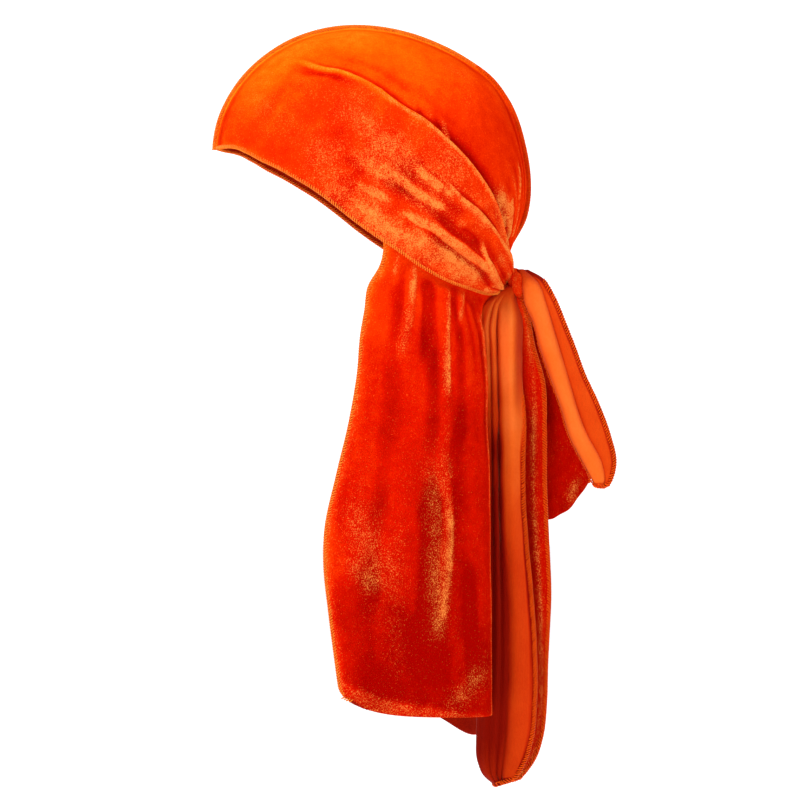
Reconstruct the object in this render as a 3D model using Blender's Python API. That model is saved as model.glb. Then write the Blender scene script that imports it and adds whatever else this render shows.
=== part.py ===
# A velvet durag, tied on. Each half of the cap is one piece with its strap, which wraps
# the brow and temple, folds over the back of the crown and is gathered at the nape. An
# outward seam joins the halves. A wide flap hangs behind the neck, and at the nape are
# the knot, a bow loop, a long strap end and a short one.
# Metres, +Z up. The wearer faces -Y, and their left side is +X.
# The origin is inside the crown at its top, where the head touches it.

import math
from collections import namedtuple

import bmesh
import bpy
import numpy as np

# Driving sizes of the worn cap.
HEAD_LENGTH = 0.205  # brow to the back of the head, over the cloth
CROWN_HEIGHT = 0.168  # top of the crown down to the middle of the knot
HEAD_WIDTH = 0.154  # over the ears
CLOTH = 0.0016  # velvet with its knitted back
GAP = 0.0005  # clearance between one layer of cloth and the next
SEAM_THICKNESS = 0.0012
SEAM_HEIGHT = 0.0038  # how far the overlocked seam stands up from the crown
FOLD_STEP = 0.0040  # how far the strap's folded edge stands over the back of the crown
PLEAT_HEIGHT = 0.0042  # tallest gather of a strap

# Driving sizes of what hangs.
FLAP_DROP = 0.275  # from the straps' lower edge to the hem
FLAP_OVERLAP = 0.011  # how much of the flap's top is under the straps
RUFFLE_HEIGHT = 0.0024  # upright folds of the flap
LONG_END = 0.323  # from the knot's middle to the tip
SHORT_END = 0.141
LOOP_DROP = 0.147
TIE_WIDTH = 0.100  # the strap's end laid flat
KNOT_WIDTH = 0.0234
KNOT_HEIGHT = 0.026
KNOT_DEPTH = 0.012
KNOT_BACK = 0.958  # its middle, counted back from the brow as a share of the head's length

# The head is an egg. From the side its radius changes with direction, and across it is
# a superellipse. Its middle from the side, and the origin, are counted back from the
# brow as shares of its length, and down from the top as shares of the crown's height.
MIDDLE_BACK, MIDDLE_DOWN = 0.542, 0.466
ORIGIN_BACK = 0.5105
SIDE_RATIO = 0.819
ROUND_ALONG, ROUND_ACROSS = 2.3, 2.1  # superellipse powers

# Outline of the head from the side. Radius is a share of the head's length.
Outline = namedtuple("Outline", "direction radius")
OUTLINE = [
    Outline(0, 0.4207),  # back of the head
    Outline(22.5, 0.3960),
    Outline(33, 0.3840),
    Outline(45, 0.3650),
    Outline(67.5, 0.3493),
    Outline(90, 0.3602),  # top
    Outline(112.5, 0.3942),
    Outline(135, 0.4417),
    Outline(157.5, 0.4900),
    Outline(170, 0.5110),
    Outline(180, 0.519),  # brow
    Outline(202.5, 0.525),
    Outline(225, 0.545),
    Outline(270, 0.590),  # neck
    Outline(300, 0.585),
    Outline(310, 0.556),  # nape
    Outline(318, 0.508),
    Outline(326, 0.485),
    Outline(339, 0.462),
]

# Lines on the head, seen from the side: counted back from the brow as shares of the
# head's length, and down from the top as shares of the crown's height.
Spot = namedtuple("Spot", "back down")
STRAP_EDGE = [
    Spot(0.003, 0.465),
    Spot(0.076, 0.473),
    Spot(0.174, 0.531),
    Spot(0.257, 0.589),
    Spot(0.320, 0.647),
    Spot(0.384, 0.705),
    Spot(0.457, 0.763),
    Spot(0.590, 0.891),
    Spot(0.685, 0.945),
    Spot(0.780, 0.988),
    Spot(0.853, 1.015),
    Spot(0.916, 1.019),
]
STRAP_FOLD = [
    Spot(0.184, 0.079),
    Spot(0.273, 0.106),
    Spot(0.415, 0.157),
    Spot(0.545, 0.234),
    Spot(0.659, 0.339),
    Spot(0.739, 0.420),
    Spot(0.799, 0.505),
    Spot(0.853, 0.598),
    Spot(0.894, 0.702),
    Spot(0.916, 0.814),
    Spot(0.923, 0.923),
]
CROWN_TOP = Spot(0.368, 0.000)
SEAM_END = Spot(0.913, 0.861)
FLAP_EDGE = [
    Spot(0.540, 0.857),
    Spot(0.590, 0.904),
    Spot(0.685, 0.958),
    Spot(0.780, 1.001),
    Spot(0.853, 1.028),
    Spot(0.907, 1.038),
]

# Gathers. Across is the share of the way over the strap from its lower edge to its
# folded edge, or over the crown from that fold to the middle seam. Start is the share
# of its length at which the gather begins.
Pleat = namedtuple("Pleat", "across start height width")
STRAP_PLEATS = [
    Pleat(0.03, 0.45, 0.30, 0.050),
    Pleat(0.24, 0.36, 0.85, 0.060),
    Pleat(0.45, 0.78, 0.75, 0.065),
    Pleat(0.70, 0.58, 0.75, 0.070),
]
CROWN_PLEATS = [
    Pleat(0.30, 0.66, 0.30, 0.08),
    Pleat(0.55, 0.60, 0.36, 0.08),
    Pleat(0.80, 0.64, 0.26, 0.07),
]
# Rows of points across a half of the cap, closer together where it folds.
STRAP_ROWS = [0, 0.06, 0.13, 0.19, 0.25, 0.32, 0.39, 0.46, 0.54, 0.63, 0.72, 0.81, 0.89, 0.945, 0.975, 1]
CROWN_ROWS = [0.03, 0.08, 0.18, 0.31, 0.44, 0.58, 0.74, 0.88, 1]

# The flap's plan is a U that opens forwards. Drop is the share of its way down. Front
# and back are counted as on the head, half is a share of half the head's width, square
# is the U's power, and dent is how far the middle of its back is pushed in.
FlapRow = namedtuple("FlapRow", "drop front back half square dent")
FLAP_ROWS = [
    FlapRow(0.00, 0.540, 0.840, 0.88, 2.2, 0.000),
    FlapRow(0.08, 0.502, 0.855, 0.87, 2.4, 0.012),
    FlapRow(0.17, 0.472, 0.866, 0.85, 2.8, 0.026),
    FlapRow(0.28, 0.450, 0.877, 0.82, 3.2, 0.038),
    FlapRow(0.38, 0.431, 0.884, 0.79, 3.5, 0.046),
    FlapRow(0.50, 0.384, 0.892, 0.76, 3.8, 0.056),
    FlapRow(0.63, 0.354, 0.891, 0.74, 4.0, 0.064),
    FlapRow(0.80, 0.374, 0.889, 0.73, 4.0, 0.076),
    FlapRow(1.00, 0.412, 0.889, 0.72, 4.0, 0.084),
]
# Upright folds of the flap. Across is counted from each side edge to the middle.
Gather = namedtuple("Gather", "across width top hem")
FLAP_GATHERS = [
    Gather(0.09, 0.028, 0.9, 0.2),
    Gather(0.24, 0.034, 1.0, -0.7),
    Gather(0.38, 0.030, 0.9, 0.6),
    Gather(0.52, 0.034, 1.0, 1.6),
    Gather(0.66, 0.032, 0.9, -0.9),
    Gather(0.80, 0.030, 0.8, 0.6),
]
HEM_CORNER = 0.045  # how far the flap's lower corners are rounded up, share of its drop
HEM_FAR = 0.065  # how much lower the hem hangs right of the middle, share of its drop

# The long end is folded along its length, knitted side out. Drop is the share of its
# length. The rest are shares of the tie's width, counted back from the knot's middle:
# the fold, the near and the far edge, then how far apart its layers are, how much they
# bulge, and how far left of the middle they hang.
LongRow = namedtuple("LongRow", "drop fold near far gap bulge side")
LONG_ROWS = [
    LongRow(0.000, -0.062, -0.010, 0.012, 0.034, 0.004, 0.150),
    LongRow(0.030, -0.150, 0.000, 0.026, 0.040, 0.012, 0.150),
    LongRow(0.060, -0.195, 0.004, 0.045, 0.060, 0.020, 0.130),
    LongRow(0.120, -0.185, 0.006, 0.085, 0.090, 0.035, 0.080),
    LongRow(0.230, -0.172, 0.010, 0.165, 0.095, 0.040, 0.050),
    LongRow(0.370, -0.165, 0.030, 0.170, 0.095, 0.040, 0.040),
    LongRow(0.530, -0.172, 0.068, 0.208, 0.090, 0.035, 0.035),
    LongRow(0.710, -0.210, 0.105, 0.190, 0.085, 0.025, 0.030),
    LongRow(0.870, -0.252, 0.114, 0.176, 0.075, 0.015, 0.030),
    LongRow(1.000, -0.185, 0.080, 0.130, 0.070, 0.010, 0.030),
]
LONG_TIP = 0.10  # how far its corners are rounded up, as a share of its length

# The short end hangs outwards, with a rolled strip beside a flat one, in shares of the
# tie's width counted back from the knot's middle. Side is how far left it hangs.
ShortRow = namedtuple("ShortRow", "drop left valley right roll side")
SHORT_ROWS = [
    ShortRow(0.000, 0.000, 0.052, 0.078, 0.020, 0.114),
    ShortRow(0.069, 0.032, 0.123, 0.162, 0.045, 0.142),
    ShortRow(0.138, 0.052, 0.175, 0.214, 0.060, 0.150),
    ShortRow(0.207, 0.078, 0.195, 0.260, 0.065, 0.155),
    ShortRow(0.346, 0.137, 0.240, 0.345, 0.065, 0.160),
    ShortRow(0.484, 0.195, 0.299, 0.422, 0.065, 0.160),
    ShortRow(0.622, 0.267, 0.357, 0.513, 0.060, 0.160),
    ShortRow(0.760, 0.332, 0.429, 0.585, 0.055, 0.160),
    ShortRow(0.900, 0.442, 0.533, 0.618, 0.045, 0.160),
    ShortRow(1.000, 0.500, 0.560, 0.620, 0.035, 0.160),
]
SHORT_TIP = 0.13
SHORT_UP = 0.44  # where it leaves the knot, above its middle, as a share of its height

# The bow loop hangs on the right: down one wall to its fold and up the other. Side is
# how far right its middle hangs.
LoopRow = namedtuple("LoopRow", "drop front back gap side")
LOOP_ROWS = [
    LoopRow(0.00, -0.020, 0.040, 0.030, 0.156),
    LoopRow(0.07, -0.010, 0.090, 0.050, 0.185),
    LoopRow(0.14, 0.005, 0.140, 0.070, 0.205),
    LoopRow(0.33, 0.032, 0.275, 0.100, 0.225),
    LoopRow(0.52, 0.072, 0.395, 0.120, 0.225),
    LoopRow(0.70, 0.107, 0.477, 0.120, 0.225),
    LoopRow(0.85, 0.150, 0.500, 0.100, 0.225),
    LoopRow(1.00, 0.200, 0.480, 0.060, 0.225),
]
LOOP_DOWN = 0.12  # where it leaves the knot, below its middle, as a share of its height
LOOP_TILT = 0.17  # how much higher its back corner is, as a share of its drop

VELVET_RED = (0.78, 0.055, 0.010)
KNIT_ORANGE = (0.80, 0.150, 0.030)
THREAD_RED = (0.72, 0.080, 0.018)


def clear_scene():
    for obj in list(bpy.data.objects):
        bpy.data.objects.remove(obj)


def cloth_material(name, colour, roughness, sheen):
    material = bpy.data.materials.new(name)
    material.use_nodes = True
    shader = material.node_tree.nodes["Principled BSDF"]
    shader.inputs["Base Color"].default_value = (*colour, 1.0)
    shader.inputs["Roughness"].default_value = roughness
    shader.inputs["Metallic"].default_value = 0.0
    shader.inputs["Sheen Weight"].default_value = sheen
    return material


def velvet(piece):
    return cloth_material("velvet_" + piece, VELVET_RED, 0.85, 0.5)


def knitted_back(piece):
    return cloth_material("knitted_back_" + piece, KNIT_ORANGE, 0.75, 0.2)


def overlock_thread(piece):
    return cloth_material("overlock_" + piece, THREAD_RED, 0.8, 0.1)


def ease(value, start, end):
    """0 before start, 1 after end, and a smooth step in between."""
    share = np.clip((value - start) / (end - start), 0.0, 1.0)
    return share * share * (3.0 - 2.0 * share)


def bump(value, middle, width):
    return np.exp(-(((value - middle) / width) ** 2))


def column(rows, key, name, at):
    """One named column of a table, read smoothly between its rows."""
    xs = np.array([getattr(row, key) for row in rows], float)
    ys = np.array([getattr(row, name) for row in rows], float)
    slopes = np.gradient(ys, xs)
    at = np.clip(at, xs[0], xs[-1])
    i = np.clip(np.searchsorted(xs, at) - 1, 0, len(xs) - 2)
    step = xs[i + 1] - xs[i]
    t = (at - xs[i]) / step
    return (
        (1 + 2 * t) * (1 - t) ** 2 * ys[i]
        + t * (1 - t) ** 2 * step * slopes[i]
        + t * t * (3 - 2 * t) * ys[i + 1]
        + t * t * (t - 1) * step * slopes[i + 1]
    )


def outline_radius(direction):
    """Radius of the head's outline, for a direction in radians."""
    turns = [Outline(row.direction - 360, row.radius) for row in OUTLINE]
    turns += OUTLINE + [Outline(row.direction + 360, row.radius) for row in OUTLINE]
    degrees = np.degrees(direction) % 360
    return column(turns, "direction", "radius", degrees)


def disc_of(spots):
    """The spots on the unrolled side of the head: a disc with its middle on the pole,
    whose rim, a quarter turn out, is the middle line over the head."""
    back = np.array([s.back for s in spots]) - MIDDLE_BACK
    up = (MIDDLE_DOWN - np.array([s.down for s in spots])) * SIDE_RATIO
    direction = np.arctan2(up, back)
    share = np.hypot(back, up) / outline_radius(direction)
    turn = np.arcsin(np.clip(share, 0, 1) ** (ROUND_ALONG / 2))
    return np.stack([turn * np.cos(direction), turn * np.sin(direction)], -1)


def on_egg(disc):
    """Points of the left side of the head for points of the disc."""
    turn = np.hypot(disc[..., 0], disc[..., 1])
    direction = np.arctan2(disc[..., 1], disc[..., 0])
    share = np.sin(np.minimum(turn, math.pi / 2)) ** (2 / ROUND_ALONG)
    across = np.maximum(np.cos(np.minimum(turn, math.pi / 2)), 0) ** (2 / ROUND_ACROSS)
    reach = share * outline_radius(direction)
    return np.stack(
        [
            across * (HEAD_WIDTH / 2 - CLOTH),
            (MIDDLE_BACK - ORIGIN_BACK + reach * np.cos(direction)) * HEAD_LENGTH,
            (reach * np.sin(direction) / SIDE_RATIO - MIDDLE_DOWN) * CROWN_HEIGHT,
        ],
        -1,
    )


def egg_level(points):
    """1 on the head, more outside."""
    back = points[..., 1] / HEAD_LENGTH + ORIGIN_BACK - MIDDLE_BACK
    up = (points[..., 2] / CROWN_HEIGHT + MIDDLE_DOWN) * SIDE_RATIO
    share = np.hypot(back, up) / outline_radius(np.arctan2(up, back))
    across = np.abs(points[..., 0]) / (HEAD_WIDTH / 2 - CLOTH)
    return across**ROUND_ACROSS + share**ROUND_ALONG


def head_normals(disc):
    points = on_egg(disc)
    step = 1e-4
    slope = np.stack(
        [egg_level(points + step * e) - egg_level(points - step * e) for e in np.eye(3)], -1
    )
    return slope / np.linalg.norm(slope, axis=-1, keepdims=True)


def lifted(disc, lift):
    """Points that far outside the head."""
    return on_egg(disc) + head_normals(disc) * np.asarray(lift)[..., None]


def along(points, shares):
    """A smooth curve through the points, read at equal lengths."""
    points = np.asarray(points, float)
    ends = np.vstack([2 * points[0] - points[1], points, 2 * points[-1] - points[-2]])
    fine = []
    for i in range(len(points) - 1):
        a, b, c, d = ends[i : i + 4]
        t = np.linspace(0, 1, 16, endpoint=i == len(points) - 2)[:, None]
        cubic = 2 * b + (c - a) * t + (2 * a - 5 * b + 4 * c - d) * t**2
        fine.append(0.5 * (cubic + (3 * b - a - 3 * c + d) * t**3))
    fine = np.vstack(fine)
    length = np.concatenate([[0], np.cumsum(np.linalg.norm(np.diff(fine, axis=0), axis=1))])
    return np.stack([np.interp(shares * length[-1], length, f) for f in fine.T], -1)


def straight(a, b, shares):
    return a + (b - a) * np.asarray(shares)[:, None]


def patch(low, high, start, end, u, v):
    """A surface between four curves: low and high run from start to end."""
    u, v = u[:, None, None], v[None, :, None]
    low, high, start, end = low[:, None], high[:, None], start[None], end[None]
    v0, v1 = start[:, :1], start[:, -1:]
    share = (v - v.min()) / (v.max() - v.min())
    corners = (1 - u) * ((1 - share) * v0 + share * v1) + u * (
        (1 - share) * end[:, :1] + share * end[:, -1:]
    )
    return (1 - v) * low + v * high + (1 - u) * start + u * end - corners


def rim_turn():
    """How far out on the disc a half panel may reach, clear of the middle seam."""
    clear = (SEAM_THICKNESS / 2 + GAP) / (HEAD_WIDTH / 2 - CLOTH)
    return math.acos(clear ** (ROUND_ACROSS / 2))


def inside_rim(disc):
    turn = np.linalg.norm(disc, axis=-1, keepdims=True)
    return disc * np.minimum(1, rim_turn() / turn)


def rim_arc(first, last, shares):
    """The disc's rim from one spot's direction to another's, over the top of the head."""
    a, b = (math.atan2(d[1], d[0]) % (2 * math.pi) for d in disc_of([first, last]))
    b -= 2 * math.pi if b > a else 0
    turn = a + (b - a) * np.asarray(shares)
    return rim_turn() * np.stack([np.cos(turn), np.sin(turn)], -1)


def shell(name, outer, inner, material):
    """A wall between two grids of points, closed round its rim."""
    nu, nv = outer.shape[:2]
    mesh = bmesh.new()
    grids = [
        [[mesh.verts.new(p) for p in row] for row in grid.tolist()] for grid in (outer, inner)
    ]
    for grid in grids:
        for i in range(nu - 1):
            for j in range(nv - 1):
                mesh.faces.new((grid[i][j], grid[i + 1][j], grid[i + 1][j + 1], grid[i][j + 1]))
    rim = [(i, 0) for i in range(nu)] + [(nu - 1, j) for j in range(1, nv)]
    rim += [(i, nv - 1) for i in range(nu - 2, -1, -1)] + [(0, j) for j in range(nv - 2, 0, -1)]
    for (a, b), (c, d) in zip(rim, rim[1:] + rim[:1]):
        mesh.faces.new((grids[0][a][b], grids[0][c][d], grids[1][c][d], grids[1][a][b]))
    bmesh.ops.triangulate(mesh, faces=mesh.faces[:])
    return finished(name, mesh, material)


def finished(name, mesh, material):
    bmesh.ops.recalc_face_normals(mesh, faces=mesh.faces[:])
    data = bpy.data.meshes.new(name)
    mesh.to_mesh(data)
    mesh.free()
    data.materials.append(material)
    data.shade_smooth()
    obj = bpy.data.objects.new(name, data)
    bpy.context.scene.collection.objects.link(obj)
    return obj


def normals_of(grid):
    normal = np.cross(np.gradient(grid, axis=0), np.gradient(grid, axis=1))
    return normal / np.linalg.norm(normal, axis=-1, keepdims=True)


def sheet(name, grid, material):
    """A cloth of even thickness with the grid in its middle."""
    half = normals_of(grid) * CLOTH / 2
    return shell(name, grid + half, grid - half, material)


def mirrored(grid):
    return grid * np.array([-1, 1, 1])


def gathered(pleats, length, across, fade):
    """How far the gathers stand up. They flatten a little where they meet the knot."""
    lift = 0
    for p in pleats:
        rise = ease(length, p.start, p.start + 0.6 * (0.96 - p.start))
        lift = lift + p.height * rise * bump(across, p.across, p.width)
    return lift * PLEAT_HEIGHT * (1 - fade * ease(length, 0.88, 1.0))


def strap_lift(length, across):
    """How far the strap's middle stands off the head: pulled up over the back of the
    crown to its folded edge, and clear of the flap at the nape."""
    step = FOLD_STEP * ease(length, 0.06, 0.40) * (1 - 0.45 * ease(length, 0.85, 1.0))
    fold = step * ease(across, 0.25, 0.92) + 0.2 * step * bump(across, 0.92, 0.04)
    over_flap = (CLOTH + 1.6 * GAP) * ease(length, 0.46, 0.60) * (1 - ease(across, 0.3, 0.6))
    lift = CLOTH / 2 + np.maximum(fold, over_flap) + gathered(STRAP_PLEATS, length, across, 0.5)
    return lift - 0.55 * step * ease(across, 0.955, 1.02)


def crown_lift(length, across):
    """How far the crown's middle stands off the head, from the fold to the seam."""
    step = FOLD_STEP * ease(length, 0.06, 0.40) * (1 - 0.45 * ease(length, 0.85, 1.0))
    fold = 0.45 * step * (1 - ease(across, 0, 0.06))
    return CLOTH / 2 + fold + gathered(CROWN_PLEATS, length, across, 0.5)


def panel_grids(columns=27):
    """The left half of the cap with its strap: from the strap's lower edge over its
    fold to the middle seam, and from the brow back to the knot."""
    u = np.linspace(0, 1, columns) ** 0.9
    strap, crown = np.array(STRAP_ROWS), np.array(CROWN_ROWS)
    brow = rim_arc(STRAP_EDGE[0], STRAP_FOLD[0], strap)
    over = rim_arc(STRAP_FOLD[0], CROWN_TOP, crown)
    seam = rim_arc(CROWN_TOP, SEAM_END, u)
    edge = along(np.vstack([brow[:1], disc_of(STRAP_EDGE)[1:]]), u)
    fold = along(np.vstack([brow[-1:], disc_of(STRAP_FOLD)[1:]]), u)
    low = patch(edge, fold, brow, straight(edge[-1], fold[-1], strap), u, strap)
    high = patch(fold, seam, over, straight(fold[-1], seam[-1], crown), u, crown)
    disc = inside_rim(np.concatenate([low, high], axis=1))
    length = u[:, None]
    lift = np.concatenate(
        [strap_lift(length, strap[None, :]), crown_lift(length, crown[None, :])], axis=1
    )
    middle = lifted(disc, lift)
    lean = np.abs(np.sum(normals_of(middle) * head_normals(disc), axis=-1))
    half = CLOTH / 2 / np.maximum(lean, 0.6)
    return lifted(disc, lift + half), lifted(disc, lift - half)


def build_left_half():
    outer, inner = panel_grids()
    shell("left_half", outer, inner, velvet("left_half"))


def build_right_half():
    outer, inner = panel_grids()
    shell("right_half", mirrored(outer), mirrored(inner), velvet("right_half"))


def build_middle_seam(count=44):
    """The overlocked middle seam: an upright strip from brow to nape."""
    rim = rim_arc(STRAP_EDGE[0], SEAM_END, np.linspace(0, 1, count))
    rim = rim / rim_turn() * (math.pi / 2)
    low = lifted(rim, np.full(count, 0.0))
    high = lifted(rim, np.full(count, CLOTH + SEAM_HEIGHT))
    half = np.array([SEAM_THICKNESS / 2, 0, 0])
    middle = np.stack([low, high], 1)
    shell("middle_seam", middle + half, middle - half, overlock_thread("middle_seam"))


def flap_edge(side, raised):
    """A line round the nape on the head, under the straps, from middle to side edge."""
    spots = [Spot(s.back, s.down - raised / CROWN_HEIGHT) for s in reversed(FLAP_EDGE)]
    line = disc_of(spots)
    line[0] *= math.pi / 2 / np.linalg.norm(line[0])
    return along(line, side)


def flap_grid(down_count=18, across_count=37, under_rows=3):
    """The flap's middle surface: its top lies on the head under the straps, and the
    rest hangs in a U behind the neck, from its left edge round to its right edge."""
    w = np.linspace(-1, 1, across_count)
    side = np.abs(w)
    sign = np.where(w < 0, 1.0, -1.0)
    mirror = np.stack([sign, np.ones_like(w), np.ones_like(w)], -1)
    rows = []
    for raised in np.linspace(FLAP_OVERLAP, 0, under_rows):
        rows.append(lifted(flap_edge(side, raised), CLOTH / 2 + 0 * side) * mirror)
    start = rows[-1]
    slope = (rows[-1] - rows[-2]) * (under_rows - 1) / FLAP_OVERLAP
    hem = -CROWN_HEIGHT - FLAP_DROP + FLAP_DROP * HEM_CORNER * side**9
    hem = hem - FLAP_DROP * HEM_FAR * bump(w, 0.36, 0.20)
    for drop in np.linspace(0, 1, down_count - under_rows + 1)[1:] ** 1.15:
        read = {name: column(FLAP_ROWS, "drop", name, drop) for name in FlapRow._fields}
        turn = side * math.pi / 2
        x = sign * np.sin(turn) ** (2 / read["square"]) * read["half"] * HEAD_WIDTH / 2
        reach = np.cos(turn) ** (2 / read["square"])
        y = (read["front"] + (read["back"] - read["front"]) * reach - ORIGIN_BACK) * HEAD_LENGTH
        y = y - read["dent"] * HEAD_LENGTH * bump(x, 0, 0.4 * read["half"] * HEAD_WIDTH / 2)
        z = start[:, 2] * (1 - drop) + hem * drop
        hung = np.stack([x, y, z], -1)
        follow = start + slope * (drop * FLAP_DROP)
        hang = ease(drop, 0.0, 0.16)
        row = follow * (1 - hang) + hung * hang
        row[:, 2] = z
        rows.append(row)
    return ruffled(np.array(rows), w)


def ruffled(grid, w):
    """The flap with its upright folds, gathered at the top and broad at the hem."""
    normal = normals_of(grid)
    low = grid[2:3, :, 2:]
    drop = np.clip((low - grid[..., 2:]) / FLAP_DROP, 0, 1)[..., 0]
    shift = 0
    for g in FLAP_GATHERS:
        height = g.top * ease(drop, 0.005, 0.09) * (1 - ease(drop, 0.12, 0.55))
        height = height + g.hem * ease(drop, 0.15, 0.8)
        width = g.width * (1 + 1.1 * ease(drop, 0.1, 0.7))
        shift = shift + RUFFLE_HEIGHT * height * bump(1 - np.abs(w), g.across, width)
    centre = grid.mean(axis=1, keepdims=True)
    outwards = np.sign(np.sum(normal * (grid - centre), axis=-1, keepdims=True))
    return grid + normal * outwards * shift[..., None]


def build_neck_flap():
    sheet("neck_flap", flap_grid(), velvet("neck_flap"))


def knot_middle():
    return np.array([0.0, (KNOT_BACK - ORIGIN_BACK) * HEAD_LENGTH, -CROWN_HEIGHT])


def tip(share, corner):
    """How far down a tie reaches at each share of its width: its corners are rounded."""
    return 1 - corner * np.abs(2 * share - 1) ** 3.5


def long_end_grid(down_count=17, across_count=15):
    """The long end: in from its near edge to the fold, and back to its far edge."""
    s = np.linspace(0, 1, across_count)[None, :]
    d = np.linspace(0, 1, down_count)[:, None] * tip(s, LONG_TIP)
    read = {name: column(LONG_ROWS, "drop", name, d) for name in LongRow._fields}
    turned = 0.46  # share of the width at which the cloth turns back
    near = np.clip(s / turned, 0, 1)
    far = np.clip((s - turned) / (1 - turned), 0, 1)
    round_near, round_far = np.sin(near * math.pi / 2), 1 - np.cos(far * math.pi / 2)
    y = np.where(
        s < turned,
        read["near"] + (read["fold"] - read["near"]) * round_near,
        read["fold"] + (read["far"] - read["fold"]) * round_far,
    )
    x = np.where(s < turned, np.cos(near * math.pi / 2), -np.sin(far * math.pi / 2)) * read["gap"] / 2
    x = x + read["bulge"] * bump(s, 0.22, 0.13) - 0.5 * read["bulge"] * bump(s, 0.8, 0.10)
    start = knot_middle()
    return np.stack(
        [
            (read["side"] + x) * TIE_WIDTH,
            start[1] + y * TIE_WIDTH,
            start[2] - d * LONG_END,
        ],
        -1,
    )


def build_long_end():
    sheet("long_end", long_end_grid(), knitted_back("long_end"))


def short_end_grid(down_count=15, across_count=15):
    """The short end: a rolled strip in front, a valley, and a flat strip behind."""
    s = np.linspace(0, 1, across_count)[None, :]
    d = np.linspace(0, 1, down_count)[:, None] * tip(s, SHORT_TIP)
    read = {name: column(SHORT_ROWS, "drop", name, d) for name in ShortRow._fields}
    rolled = 0.55  # share of the width that is in the roll
    roll = np.clip(s / rolled, 0, 1)
    flat = np.clip((s - rolled) / (1 - rolled), 0, 1)
    swing = roll * 1.15 * math.pi
    middle = (read["left"] + read["valley"]) / 2
    radius = (read["valley"] - read["left"]) / 2
    y = np.where(s < rolled, middle - radius * np.cos(swing - 0.15 * math.pi), 0)
    y_end = middle + radius
    y = np.where(s < rolled, y, y_end + (read["right"] - y_end) * flat)
    x = np.where(s < rolled, read["roll"] * np.sin(swing - 0.15 * math.pi), 0)
    x = x + np.where(s >= rolled, 0.25 * read["roll"] * np.sin(flat * math.pi), 0)
    start = knot_middle()
    return np.stack(
        [
            (read["side"] + x) * TIE_WIDTH,
            start[1] + y * TIE_WIDTH,
            start[2] + KNOT_HEIGHT * SHORT_UP - d * SHORT_END,
        ],
        -1,
    )


def build_short_end():
    sheet("short_end", short_end_grid(), knitted_back("short_end"))


def loop_grid(round_count=25, across_count=8):
    """The bow loop: down its left wall, round the fold and up its right wall."""
    turn = np.linspace(-1, 1, round_count)[:, None]
    s = np.linspace(0, 1, across_count)[None, :]
    d = 1 - np.abs(turn) ** 1.6
    read = {name: column(LOOP_ROWS, "drop", name, d) for name in LoopRow._fields}
    y = read["front"] + (read["back"] - read["front"]) * s
    x = -np.sign(turn) * read["gap"] * np.minimum(1, np.abs(turn) * 4.5) ** 0.5
    start = knot_middle()
    return np.stack(
        [
            (x - read["side"] + 0 * s) * TIE_WIDTH,
            start[1] + y * TIE_WIDTH,
            start[2] - KNOT_HEIGHT * LOOP_DOWN - d * LOOP_DROP * (1 - LOOP_TILT * s**2),
        ],
        -1,
    )


def build_bow_loop():
    sheet("bow_loop", loop_grid(), velvet("bow_loop"))


def build_knot(rings=12, sides=18):
    """The knot: a bun of cloth with a waist where the short end is pulled through."""
    mesh = bmesh.new()
    bmesh.ops.create_uvsphere(mesh, u_segments=sides, v_segments=rings, radius=1.0)
    size = np.array([KNOT_WIDTH, KNOT_DEPTH, KNOT_HEIGHT]) / 2
    for vert in mesh.verts:
        x, y, z = vert.co
        waist = 1 - 0.16 * math.exp(-((x / 0.28) ** 2))
        square = (abs(x) ** 2.7 + abs(y) ** 2.7 + abs(z) ** 2.7) ** (1 / 2.7)
        vert.co = knot_middle() + np.array([x, y * waist, z * waist]) / square * size
    finished("knot", mesh, velvet("knot"))


def main():
    clear_scene()
    build_left_half()
    build_right_half()
    build_middle_seam()
    build_neck_flap()
    build_knot()
    build_long_end()
    build_short_end()
    build_bow_loop()


main()
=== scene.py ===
import math

import bmesh
import bpy
import numpy as np
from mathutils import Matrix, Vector


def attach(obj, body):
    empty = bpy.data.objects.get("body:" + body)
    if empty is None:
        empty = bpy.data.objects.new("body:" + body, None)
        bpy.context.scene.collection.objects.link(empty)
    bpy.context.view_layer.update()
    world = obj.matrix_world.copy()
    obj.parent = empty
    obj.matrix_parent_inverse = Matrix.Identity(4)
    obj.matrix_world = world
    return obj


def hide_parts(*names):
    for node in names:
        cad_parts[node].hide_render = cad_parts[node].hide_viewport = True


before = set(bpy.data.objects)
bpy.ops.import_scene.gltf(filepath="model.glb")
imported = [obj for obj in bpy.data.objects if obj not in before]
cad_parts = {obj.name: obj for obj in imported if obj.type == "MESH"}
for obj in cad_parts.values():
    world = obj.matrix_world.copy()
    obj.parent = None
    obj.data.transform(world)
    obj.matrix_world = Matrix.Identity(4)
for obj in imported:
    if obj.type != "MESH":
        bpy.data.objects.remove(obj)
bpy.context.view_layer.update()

# A velvet durag, tied on. Each half of the cap is one piece with its strap, an outward
# seam joins them, a wide flap hangs behind, and the straps end in a knot, a bow loop
# and two loose ends. Metres, the wearer faces -Y and their left side is +X.
# Lines on the cloth are counted in mm back from the brow and down from the top.

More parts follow.
